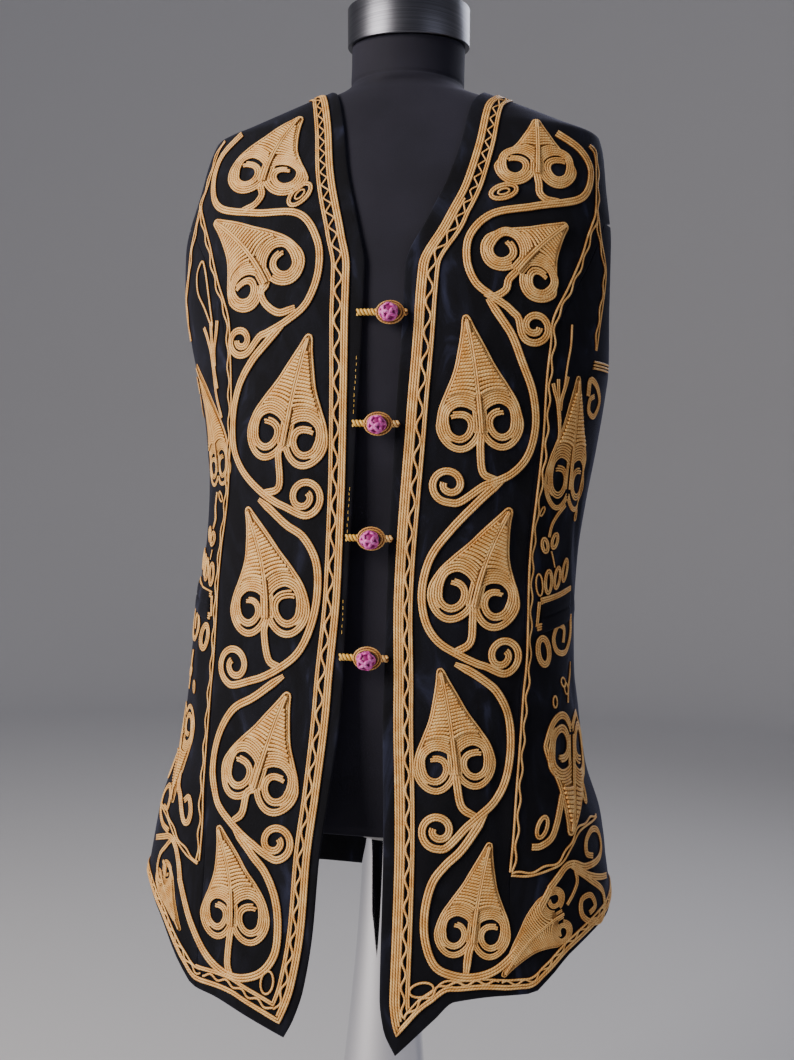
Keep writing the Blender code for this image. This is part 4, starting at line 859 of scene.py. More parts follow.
for side in (left, right):
    seamFoot = float(side.seam(cloth["hemLevel"]))
    sideFoot = wayRound(float(side.under(cloth["hemLevel"])), cloth["hemLevel"])
    four = side.name == "left"  # this front has a fourth cord below the neckline

    def bandStep(k, z, four=four):
        blend = np.clip((1.12 - z) / 0.03, 0, 1) if four else 0.0
        return (k - 1 - 0.5 * blend) * braid["pitch"]

    runs = []
    for k in range(4 if four else 3):
        top = 1.2275 if k < 3 else 1.112
        parts = roundTip(side, lambda z, k=k: side.wide(z) - 0.0004 + bandStep(k, z), 0.0, k * braid["pitch"],
                         top, seamFoot + 0.002 if k < 2 else 0.0)
        runs.append(laid(turned_(side, parts), braid["cord"]))
    sweepCords("wide_braid_" + side.name, runs, goldCord, ["braid_wide_" + side.name])
    runs = []
    for k in range(2):
        parts = roundTip(side, lambda z, k=k: side.narrow(z) + (k - 0.3) * 0.0019, 1.0, (k - 0.5) * 0.0018,
                         1.2235, seamFoot + 0.002 if k == 0 or not four else 0.0)
        runs.append(laid(turned_(side, parts), braid["thin"]))
    sweepCords("narrow_braid_" + side.name, runs, goldCord, ["braid_narrow_" + side.name])
    inner = (lambda z: side.wide(z) - 0.0004 + bandStep(3 if four else 2, z) * np.where(z > 1.12, 2 / 3 if four else 1, 1)
             + braid["cord"])
    outer = (lambda z: side.narrow(z) - 0.0006 - braid["thin"])
    parts = roundTip(side, lambda z: (inner(z) + outer(z)) / 2, 0.62, 0.0, 1.2225, seamFoot - 0.003)
    channel = evenly(turned_(side, parts), 0.0012)
    room = np.maximum((outer(channel[:, 1]) - inner(channel[:, 1])) / 2 - 0.0002, 0.0012)
    hemward = np.abs(channel[:, 0]) > abs(parts[1][0, 0]) + 0.004
    room = np.where(hemward & (channel[:, 1] < 0.5), 0.0017, room)
    zigzag = wavy(channel, np.where(hemward & (channel[:, 1] < 0.5), 0.016, zigzagPeriod(channel[:, 1])), room,
                  np.clip((channel[:, 1] - 1.04) / 0.08, 0, 1))
    thick = braid["zigzag"] * np.interp(zigzag[:, 1], (1.03, 1.12), (1.2, 0.86))
    sweepCords("zigzag_" + side.name, [laid(zigzag, thick, 0.0002)], fineGold)
    # the same band goes on along the gore's hem
    runs = []
    goreWays = np.append(np.arange(seamFoot - 0.005, sideFoot - 0.004, 0.006), sideFoot)
    for share, lift in ((0.0, 0.0), (0.0, braid["pitch"]), (1.0, -0.0009)):
        line = aboveHem(side, goreWays, share, lift) * (side.sign, 1)
        runs.append(laid(smoothPath(line, 0.003), braid["cord"] * 0.95))
    line = aboveHem(side, goreWays, 0.62) * (side.sign, 1)
    runs.append(laid(wavy(smoothPath(line, 0.0012), 0.016, 0.0017), braid["zigzag"], 0.0002))
    sweepCords("hem_band_" + side.name, runs, goldCord, ["hem_braid_" + side.name])
# A running stitch in yellow thread along one front's turned edge, its stitches uneven
stitches = {"spans": ((0.975, 0.930), (0.865, 0.822), (0.770, 0.742)), "inset": 0.0032, "thread": 0.00026}
runs = []
for at, foot in stitches["spans"]:  # it shows only here and there
    while at > foot:
        heights = at - np.linspace(0, rng.uniform(0.0020, 0.0034), 4)
        line = besideEdge(right, heights, stitches["inset"] + rng.uniform(-0.0003, 0.0003)) * (-1, 1)
        runs.append(laid(line, stitches["thread"]))
        at = heights[-1] - rng.uniform(0.0018, 0.0032)
sweepCords("edge_stitches", runs, yellowCord)
# Back: hem band and neck band, finished as the fronts are
runs = []
for share, lift, radius, swing in ((0.0, 0.0, 0.0011, 0), (0.0, 0.0022, 0.0011, 0), (1.0, -0.0009, 0.0011, 0),
                                   (0.62, 0.0, 0.00092, 0.0017)):
    halves = []
    for side in (left, right):
        start = wayRound(float(side.under(cloth["hemLevel"])), cloth["hemLevel"]) - 0.0005
        line = aboveHem(side, np.arange(start, wayRound(side.sign * math.pi, cloth["hemLevel"]) * side.sign, 0.004),
                        share, lift)
        halves.append((turnAt(line[:, 0] * side.sign, line[:, 1]), line[:, 1]))
    turns = np.concatenate([halves[0][0], math.tau + halves[1][0][::-1]])
    heights = np.concatenate([halves[0][1], halves[1][1][::-1]])
    stops = np.linspace(turns[0], turns[-1], 440 if swing else 190)
    heights = np.interp(stops, turns, heights) + swing * np.sin((stops - stops[0]) * 74)
    runs.append((clothPoint(stops, heights, radius * 0.8), sectionNormal(stops, heights), radius, False))
sweepCords("hem_band_back", runs, goldCord, ["hem_braid_back"])
neckDrop = curveThrough(((0.04, 0.0074), (0.20, 0.0086), (0.45, 0.0105), (0.75, 0.0118), (1.0, 0.0120)))
runs = []
for offset, radius, swing in ((-0.0028, 0.00125, 0), (0.0028, 0.00125, 0), (0.0, 0.00095, 0.0014)):
    share = np.concatenate([np.linspace(0.04, 1, 110), np.linspace(1, 0.04, 110)[1:]])
    stops = np.concatenate([quarter * (1 + share[:110]), math.tau - quarter * (1 + share[110:])])
    heights = cloth["neckPoint"] - cloth["napeDrop"] * np.sin(quarter * share) - neckDrop(share)
    slope = np.where(share < 0.35, 0.45 + 1.4 * share, 0.94)  # the cloth is nearly level beside the neck
    heights = heights + offset * slope + swing * slope * np.sin(np.arange(len(share)) * 0.55)
    runs.append((clothPoint(stops, heights, radius * 0.8), sectionNormal(stops, heights), radius, False))
sweepCords("neck_band_back", runs, goldCord, ["neck_braid_back"])
print("braids ready")

# Leaves: tip, the middles of the two volutes, half width, a lobe's share of it, height of the lobes to their width
leaf = {"outline": 0.026, "coil": 0.0275, "fill": 0.0405, "rib": 0.027, "rowPitch": 0.076, "crown": 0.0010}
leaves = (
    ("leaf_left_1", (0.1236, 1.192), (0.1085, 1.1445), (0.1455, 1.1435), 0.0378, 0.49, 0.85),
    ("leaf_left_2", (0.157, 1.0949), (0.0975, 1.0650), (0.1334, 1.0435), 0.0402, 0.475, 0.84),
    ("leaf_left_3", (0.0703, 1.0102), (0.069, 0.9187), (0.1024, 0.9198), 0.0375, 0.53, 1.0),
    ("leaf_left_4", (0.1135, 0.8509), (0.0644, 0.7752), (0.1019, 0.7732), 0.0405, 0.53, 1.0),
    ("leaf_left_5", (0.0562, 0.7161), (0.0568, 0.6342), (0.0874, 0.6368), 0.0350, 0.53, 1.0),
    ("leaf_left_6", (0.103, 0.5749), (0.0768, 0.5013), (0.1044, 0.501), 0.0320, 0.53, 1.0),
    ("leaf_right_1", (-0.0856, 1.1975), (-0.1345, 1.1400), (-0.0950, 1.1410), 0.0430, 0.535, 0.72),
    ("leaf_right_2", (-0.1665, 1.1028), (-0.1260, 1.0385), (-0.0855, 1.0530), 0.0415, 0.475, 0.9),
    ("leaf_right_3", (-0.061, 0.9941), (-0.1003, 0.91), (-0.0651, 0.9037), 0.0400, 0.53, 1.0),
    ("leaf_right_4", (-0.1218, 0.8469), (-0.1132, 0.761), (-0.0766, 0.7568), 0.0405, 0.53, 1.0),
    ("leaf_right_5", (-0.0718, 0.6904), (-0.1178, 0.6189), (-0.0784, 0.6107), 0.0400, 0.53, 1.0),
    ("leaf_right_6", (-0.134, 0.5729), (-0.13, 0.5023), (-0.0958, 0.4968), 0.0350, 0.53, 1.0),
    ("gore_leaf_left_upper", (0.1765, 0.966), (0.1600, 0.8760), (0.1860, 0.8755), 0.0300, 0.57, 1.35),
    ("gore_leaf_left_lower", (0.1805, 0.5735), (0.1770, 0.6460), (0.2130, 0.6465), 0.0425, 0.56, 1.08),
    ("gore_leaf_left_hem", (0.1165, 0.4670), (0.1665, 0.5265), (0.1680, 0.4975), 0.0248, 0.42, 0.9),
    ("gore_leaf_right_upper", (-0.2050, 0.978), (-0.1745, 0.8850), (-0.1540, 0.8815), 0.0225, 0.57, 1.25),
    ("gore_leaf_right_lower", (-0.1990, 0.5800), (-0.1935, 0.6480), (-0.2180, 0.6480), 0.0270, 0.57, 1.1),
    ("gore_leaf_right_hem", (-0.1705, 0.4770), (-0.2100, 0.5130), (-0.1975, 0.5220), 0.0170, 0.5, 1.0),
)
stalks = {
    "leaf_left_1": ((0.1290, 1.1290), (0.1300, 1.1205), (0.1370, 1.1150), (0.1480, 1.1150)),
    "leaf_left_2": ((0.1058, 1.0416), (0.1036, 1.0328), (0.0940, 1.0265), (0.0860, 1.0290)),
    "leaf_left_3": ((0.0856, 0.8985), (0.0883, 0.8794), (0.1001, 0.874)),
    "leaf_left_4": ((0.0827, 0.7562), (0.0809, 0.7371), (0.0667, 0.7286)),
    "leaf_left_5": ((0.0735, 0.6223), (0.0783, 0.6031), (0.0909, 0.595)),
    "leaf_left_6": ((0.0878, 0.4878), (0.0861, 0.4713)),
    "leaf_right_1": ((-0.1177, 1.1301), (-0.1155, 1.1215), (-0.1225, 1.1125), (-0.1350, 1.1090)),
    "leaf_right_2": ((-0.1085, 1.0316), (-0.1029, 1.0207), (-0.0901, 1.0131), (-0.0755, 1.0170)),
    "leaf_right_3": ((-0.089, 0.8936), (-0.0881, 0.8645), (-0.1043, 0.8592)),
    "leaf_right_4": ((-0.0978, 0.7387), (-0.0922, 0.7161), (-0.0809, 0.7108)),
    "leaf_right_5": ((-0.1069, 0.6029), (-0.1103, 0.586), (-0.1188, 0.579)),
    "leaf_right_6": ((-0.1155, 0.483), (-0.1167, 0.4616), (-0.1119, 0.4511)),
}
# Half width against the share of the length above the notch, up from the volutes
leafShape = curveThrough(((0.0, 1.0), (0.06, 1.0), (0.14, 0.965), (0.22, 0.91), (0.38, 0.70), (0.54, 0.48),
                          (0.70, 0.325), (0.85, 0.19), (0.96, 0.105), (1.0, 0.085)))
eyeUp = 0.155
# How far a volute's inmost cord runs from its eye: degrees wound, share of the half width
volute = ((-158, 0.490), (-120, 0.490), (-90, 0.480), (-60, 0.415), (-30, 0.300), (0, 0.245), (45, 0.250),
          (90, 0.256), (135, 0.225), (180, 0.205), (225, 0.200), (270, 0.185), (295, 0.205), (320, 0.240))


class LeafPlan:
    """A leaf's own measures: u across from the midrib and v up from the notch, carried on to the cloth."""

    def __init__(self, tip, eyeA, eyeB, width, lobe, tall):
        tip, eyeA, eyeB = (np.array(p) for p in (tip, eyeA, eyeB))
        across = (eyeB - eyeA) / np.linalg.norm(eyeB - eyeA)
        up = np.array([-across[1], across[0]])
        if np.dot(up, tip - eyeA) < 0:
            up, across = -up, -across
        self.width, self.up, self.across = width, up, across
        self.lobe, self.tall = lobe * width, tall
        self.eye = np.array([(1 - lobe) * width, eyeUp * width * tall])
        self.notch = (eyeA + eyeB) / 2 - self.eye[1] * up
        reach = np.linalg.norm(tip - self.notch)
        bend = self.notch + (0.62 * up * reach + 0.38 * (tip - self.notch)) * 0.5
        t = np.linspace(0, 1, 60)[:, None]
        self.rib = (1 - t) ** 2 * self.notch + 2 * t * (1 - t) * bend + t * t * tip
        self.ribRun = np.concatenate([[0], np.cumsum(np.linalg.norm(np.diff(self.rib, axis=0), axis=1))])
        self.length = self.ribRun[-1]
        way = np.gradient(self.rib, axis=0)
        self.ribWay = way / np.linalg.norm(way, axis=1, keepdims=True)

    def place(self, u, v):
        u, v = np.asarray(u, float), np.asarray(v, float)
        inside = np.clip(v, 0, self.length)
        foot = np.stack([np.interp(inside, self.ribRun, self.rib[:, k]) for k in (0, 1)], -1)
        way = np.stack([np.interp(inside, self.ribRun, self.ribWay[:, k]) for k in (0, 1)], -1)
        foot = foot + way * (v - inside)[..., None]
        sign = 1.0 if np.cross(self.across, self.up) > 0 else -1.0
        return foot + np.stack([way[..., 1], -way[..., 0]], -1) * (sign * u)[..., None]

    def half(self, v):
        return self.width * leafShape(np.asarray(v) / self.length)


def leafRuns(plan, hookEnds):
    """Cord paths of one leaf in its own measures, as (u, v) lines with a radius and a lift."""
    w, length, eye, tall = plan.width, plan.length, plan.eye, plan.tall
    size = plan.lobe / 0.555  # of the volute's table
    outline, coil = leaf["outline"] * w, leaf["coil"] * w
    fill, rib = leaf["fill"] * w * tall, leaf["rib"] * w
    runs = []
    for hand, hookEnd in zip((1, -1), hookEnds):
        openness = rng.uniform(0.0, 0.28)
        # outline: round the blunt tip, down the side, round the lobe and up into the notch
        upper = np.linspace(0.965 * length, max(0.17 * length, eye[1]), 24)
        side = np.stack([plan.half(upper), upper], 1)
        start = math.atan2((side[-1][1] - eye[1]) / tall, side[-1][0] - eye[0])
        turn = np.linspace(start - 0.22, -math.pi * 0.93, 24)
        sag = 1 + 0.12 * np.clip(-np.sin(turn), 0, 1) ** 2  # the lobes hang a little
        loop = eye + plan.lobe * np.stack([np.cos(turn), np.sin(turn) * tall * sag], 1)
        line = smoothPath(np.vstack([[(0.0, length), (0.055 * w, length - 0.01 * w)], side[::2], loop[::2]]), 0.0020)
        for k in range(3):
            path = beside(line, -outline * (1 + 2 * k))
            if k == 2:  # a third one under the lobe
                path = path[(path[:, 1] < eye[1] - 0.2 * plan.lobe) | (path[:, 0] < eye[0])]
                path = path[path[:, 1] < eye[1] + 0.3 * plan.lobe]
            path = path[path[:, 0] > (0.2 + k) * outline]
            if k < 2:
                path = np.vstack([[(0.0, path[0, 1] + 0.3 * outline)], path])
            runs.append((path * (hand, 1), outline, 0.0))
        # volute: four cords over the eye and down the outside, three round and up, two in the hook
        for k, end in enumerate((hookEnd, hookEnd - 4, hookEnd - 20, 62, 0, -10)):
            wound = np.arange(-158, end, 5.0)
            packed = np.interp(wound, (100, 180, 270), (1, 0.94, 0.86))
            r = np.interp(wound, *zip(*volute)) * size + k * 2 * coil * packed
            r *= 1 + openness * np.clip((wound - 150) / 60, 0, 1)
            if k == 3:  # it runs out under its neighbour
                r -= coil * 1.6 * np.clip((wound - end + 50) / 50, 0, 1) ** 2
            turn = -np.radians(wound)
            path = eye + r[:, None] * np.stack([np.cos(turn), np.sin(turn) * tall], 1)
            path = path[int(np.argmax(path[:, 0] > coil + rib * 1.2)):]
            if k > 3:  # wedges that run out against the outline
                path = path[path[:, 0] < plan.half(path[:, 1]) - 4.4 * outline]
            runs.append((evenly(path, 0.0018) * (hand, 1), coil, 0.0001))
        # fill: arcs that flatten towards the tip, between the midrib and the outline
        k = 0
        while True:
            apex = eye[1] + (0.817 * size + leaf["rowPitch"] * k * w) * tall
            if apex > length * 0.965:
                break
            bow = 0.655 * size + (leaf["rowPitch"] * k + 0.055 * k ** 1.25) * w
            middle = min(eye[0] - 0.06 * w, 0.55 * float(plan.half(apex)))
            u = np.linspace(rib * 2.0, w * 1.05, 70)
            v = apex - (bow - np.sqrt(np.maximum(bow ** 2 - (u - middle) ** 2, 0))) * tall
            keep = (np.abs(u - middle) < bow * 0.98) & (u < plan.half(v) - 4 * outline)
            keep &= (v > eye[1] + 0.1 * w) & (v < length)
            path = np.stack([u, v], 1)[keep]
            k += 1
            if len(path) > 2 and np.ptp(path[:, 0]) > 0.0012:
                runs.append((evenly(path, 0.0028) * (hand, 1), fill, 0.00045))
        for k in range(2):  # cords beside the midrib fill what the volutes leave open
            across = rib * 2 + coil * (1 + 2 * k)
            over = 0.49 * size
            while over < (eye[0] - across) * 1.02:
                over += 2 * coil
            beam = np.linspace(-0.02 * w, eye[1] + tall * math.sqrt(over ** 2 - (eye[0] - across) ** 2), 16)
            runs.append((np.stack([np.full(16, across), beam], 1) * (hand, 1), coil, -0.0001))
        spine = np.stack([np.full(30, rib * 0.98), np.linspace(-0.02 * w, length * 0.955, 30)], 1)
        spine[:, 0] *= np.interp(spine[:, 1] / length, (0, 0.8, 1), (1, 1, 0.6))
        runs.append((spine * (hand, 1), rib, 0.0009))
    return runs


def crownAt(u, width):
    return leaf["crown"] * np.clip(1 - np.abs(u) / (0.7 * width), 0, 1)


def sewLeaf(name, plan, stalk=(), stalkCord=0.00115):
    runs = []
    for path, radius, lift in leafRuns(plan, rng.uniform(284, 318, 2)):
        placed = plan.place(path[:, 0], path[:, 1])
        risen = np.clip((path[:, 1] - plan.eye[1]) / (0.72 * plan.lobe / 0.555 * plan.tall), 0, 1) ** 2
        crown = crownAt(path[:, 0], plan.width) * (1.0 if lift > 0.0004 else risen * (lift == 0.0001))
        points, normals = onCloth(placed, lift + crown + radius * 0.8)
        runs.append((points, normals, radius, False))
    if len(stalk):
        line = smoothPath(np.vstack([plan.place([0.0, 0.0], [0.16 * plan.width, -0.03 * plan.width]), stalk]), 0.0025)
        thin = np.interp(np.arange(len(line)), (0, 4, len(line) - 4, len(line)), (0.55, 1, 1, 0.7))
        runs += [laid(beside(line, step * 1.94 * stalkCord * thin), stalkCord * thin) for step in (-1, 0, 1)]
    sweepCords("cords_" + name, runs, goldCord, [name])
    # wadding under the rows, from over the volutes to the tip
    w, outline = plan.width, leaf["outline"] * plan.width
    u = np.linspace(-0.9, 0.9, 21) * w
    hollow = 0.9 * plan.lobe
    off = np.minimum(np.abs(np.abs(u) - plan.eye[0]), hollow)
    low = np.maximum(plan.eye[1] + np.sqrt(hollow ** 2 - off ** 2) * plan.tall, 0.28 * w * plan.tall)
    stations = np.linspace(0.1, 0.985, 60) * plan.length
    high = np.interp(-np.abs(u), -(plan.half(stations) - 2.2 * outline), stations)
    share = np.linspace(0, 1, 10)[:, None]
    v = low + np.maximum(high - low, 0.0005) * share
    flatU = np.tile(u, 10)
    placed = plan.place(flatU, v.ravel())
    top = onCloth(placed, 0.0006 + crownAt(flatU, w))[0]
    under = onCloth(placed, 0.0001)[0]
    faces = outwardFaces(top, gridFaces(10, 21))
    newPiece("pad_" + name, np.vstack([top, under]), wallFaces(faces, len(top)), padding)


for name, *form in leaves:
    sewLeaf(name, LeafPlan(*form), stalks.get(name, ()))
print("leaves ready")

# Vines: three cords side by side, each ending in a curl
vine = {"cord": 0.00125, "curlSweep": 560, "curl": ((0, 1.25), (90, 1.20), (180, 1.08), (270, 0.86), (360, 0.74),
                                                   (450, 0.48), (560, 0.36))}
vines = (
    ("vine_left_1", (
        (0.143, 1.180), (0.169, 1.166), (0.181, 1.147), (0.170, 1.121), (0.126, 1.108), (0.090, 1.099),
        (0.072, 1.080), (0.070, 1.057), (0.078, 1.038), (0.092, 1.027), (0.106, 1.018), (0.1185, 1.006),
    ), (0.130, 1.003), 0.0115, 1),
    ("vine_left_3", (
        (0.0885, 1.0245), (0.0945, 1.0165), (0.1015, 1.0070), (0.1105, 0.994), (0.120, 0.972), (0.130, 0.948), (0.1335, 0.922), (0.128, 0.897),
        (0.115, 0.881), (0.098, 0.872), (0.080, 0.865),
    ), (0.060, 0.869), 0.0125, -1),
    ("vine_left_4", (
        (0.1065, 0.8745), (0.0955, 0.8655), (0.0835, 0.8540), (0.063, 0.832), (0.046, 0.808), (0.0395, 0.780), (0.043, 0.755), (0.054, 0.738),
        (0.072, 0.727), (0.090, 0.719), (0.100, 0.7165),
    ), (0.110, 0.7265), 0.0125, 1),
    ("vine_left_5", (
        (0.0690, 0.7195), (0.0810, 0.7140), (0.094, 0.706), (0.106, 0.696), (0.117, 0.676), (0.1195, 0.652), (0.116, 0.626), (0.107, 0.608),
        (0.091, 0.594), (0.075, 0.580),
    ), (0.0595, 0.584), 0.0120, -1),
    ("vine_left_6", (
        (0.0990, 0.5985), (0.0900, 0.5840), (0.0785, 0.5680), (0.0660, 0.5560), (0.0560, 0.542), (0.0510, 0.520), (0.0520, 0.497),
        (0.0600, 0.4775), (0.0740, 0.4700), (0.0920, 0.4680), (0.1110, 0.4735), (0.1285, 0.4885),
        (0.1420, 0.510), (0.1580, 0.534),
    ), None, 0, 0),
    ("vine_right_1", (
        (-0.147, 1.188), (-0.171, 1.167), (-0.176, 1.140), (-0.161, 1.115), (-0.120, 1.105),
        (-0.078, 1.101), (-0.059, 1.076), (-0.056, 1.048), (-0.065, 1.021), (-0.081, 1.007),
        (-0.098, 0.998), (-0.115, 0.991),
    ), (-0.129, 0.991), 0.0105, -1),
    ("vine_right_3", (
        (-0.0850, 1.0040), (-0.0935, 0.9960), (-0.1030, 0.9865), (-0.1165, 0.973), (-0.131, 0.952), (-0.139, 0.925), (-0.138, 0.898),
        (-0.127, 0.878), (-0.106, 0.860), (-0.086, 0.849), (-0.0750, 0.846),
    ), (-0.064, 0.856), 0.0130, 1),
    ("vine_right_4", (
        (-0.1090, 0.8535), (-0.0975, 0.8460), (-0.080, 0.832), (-0.064, 0.822), (-0.052, 0.802), (-0.0495, 0.776), (-0.054, 0.748),
        (-0.065, 0.724), (-0.083, 0.709), (-0.103, 0.699), (-0.116, 0.697),
    ), (-0.128, 0.709), 0.0140, -1),
    ("vine_right_5", (
        (-0.0775, 0.7035), (-0.0900, 0.6945), (-0.106, 0.683), (-0.127, 0.671), (-0.142, 0.647), (-0.1465, 0.618), (-0.139, 0.594),
        (-0.121, 0.577), (-0.102, 0.564), (-0.088, 0.558),
    ), (-0.0775, 0.566), 0.0120, 1),
    ("vine_right_6", (
        (-0.1190, 0.5745), (-0.1100, 0.5650), (-0.0990, 0.5545), (-0.0855, 0.5405), (-0.0755, 0.5210), (-0.0715, 0.498), (-0.074, 0.474),
        (-0.088, 0.457), (-0.112, 0.452), (-0.136, 0.462), (-0.1585, 0.488), (-0.176, 0.521),
    ), None, 0, 0),
)


def curlPath(points, middle, radius, turning, step=0.0022):
    path = smoothPath(points, step)
    if middle is None:
        return path
    last = path[-1]
    start = math.atan2(last[1] - middle[1], last[0] - middle[0])
    reach = math.hypot(last[0] - middle[0], last[1] - middle[1])
    wound = np.linspace(0, vine["curlSweep"], 90)[1:]
    blend = np.minimum(wound / 70, 1)
    r = reach * (1 - blend) + radius * np.interp(wound, *zip(*vine["curl"])) * blend
    angle = start + turning * np.radians(wound)
    curl = np.stack([middle[0] + r * np.cos(angle), middle[1] + r * np.sin(angle)], 1)
    return evenly(smoothPath(np.vstack([path[:-2:3], curl[6::5]]), step), step)


def cordBand(path, radius, count=3, taper=1.0, lift=0.0, enter=1.0):
    """Cords side by side along a path, thinning towards its end and, if asked, from its start."""
    thin = np.linspace(1, taper, len(path)) * np.interp(np.arange(len(path)), (0, 5), (enter, 1))
    return [laid(beside(path, (k - (count - 1) / 2) * 2 * radius * 0.97 * thin), radius * thin, lift)
            for k in range(count)]


for name, points, middle, radius, turning in vines:
    path = curlPath(points, middle, radius, turning)
    runs = cordBand(path, vine["cord"], 3, 0.86 if middle else 0.9, 0.0, 1.0 if name.endswith("_1") else 0.55)
    sweepCords("cords_" + name, runs, goldCord, [name])
print("vines ready")

# Frames of the gores: a straight cord with a wavy one beside it, forking below the shoulder
frames = (
    ("gore_frame_left", 1, (
        (0.1783, 1.1745), (0.1866, 1.1666), (0.1894, 1.1434), (0.1890, 1.1125), (0.1845, 1.0985), (0.1798, 1.0866),
        (0.1750, 1.0700), (0.1674, 1.0516), (0.1600, 1.0358), (0.1515, 1.0194), (0.1470, 1.0062), (0.1464, 0.9892),
        (0.1440, 0.9600), (0.1425, 0.9100), (0.1375, 0.8580), (0.1340, 0.8070), (0.1340, 0.7400), (0.1305, 0.6700),
        (0.1262, 0.6074), (0.1240, 0.5700), (0.1225, 0.5500),
    ), ((0.1225, 0.5485), (0.1387, 0.5475), (0.1588, 0.5510), (0.1701, 0.5548), (0.1814, 0.5661), (0.1956, 0.5776),
        (0.2309, 0.5814)),
     ((0.1890, 1.1140), (0.1915, 1.1010), (0.1955, 1.0860), (0.2020, 1.0720), (0.2060, 1.0600), (0.2050, 1.0440),
      (0.2020, 1.0250), (0.1990, 1.0070), (0.1965, 0.9900))),
    ("gore_frame_right", -1, (
        (-0.1700, 1.1860), (-0.1774, 1.1770), (-0.1828, 1.1588), (-0.1885, 1.1394), (-0.1930, 1.1234),
        (-0.1820, 1.1030), (-0.1715, 1.0818), (-0.1650, 1.0640), (-0.1569, 1.0429), (-0.1497, 1.0270),
        (-0.1440, 1.0105), (-0.1424, 0.9885), (-0.1424, 0.9408), (-0.1441, 0.9060), (-0.1471, 0.8708),
        (-0.1510, 0.8400), (-0.1560, 0.8100), (-0.1570, 0.7800), (-0.1560, 0.7461), (-0.1560, 0.7109),
        (-0.1580, 0.6755), (-0.1585, 0.6237), (-0.1545, 0.5742), (-0.1550, 0.5400),
    ), ((-0.1550, 0.5380), (-0.1689, 0.5435), (-0.1847, 0.5531), (-0.2050, 0.5680), (-0.2300, 0.5750)),
     ((-0.1930, 1.1234), (-0.1945, 1.1049), (-0.1975, 1.0911), (-0.2017, 1.0778), (-0.2050, 1.0600),
      (-0.2110, 1.0466), (-0.2140, 1.0331), (-0.2150, 1.0149), (-0.2140, 1.0000))),
)
for name, hand, upright, foot, armhole in frames:
    runs = []
    for points, inward in ((upright, 1), (foot, 1), (armhole, -1)):
        path = smoothPath(points, 0.002)
        runs.append(laid(beside(path, -0.0013 * hand * inward), 0.0011))
        away = np.interp(np.arange(len(path)), (0, 8, len(path) - 8, len(path)), (0.3, 1, 1, 0.5))
        snake = wavy(beside(path, 0.0019 * hand * inward * away), 0.024, 0.0011)
        runs.append(laid(snake, 0.00105, 0.0001))
    sweepCords("cords_" + name, runs, fineGold, [name])


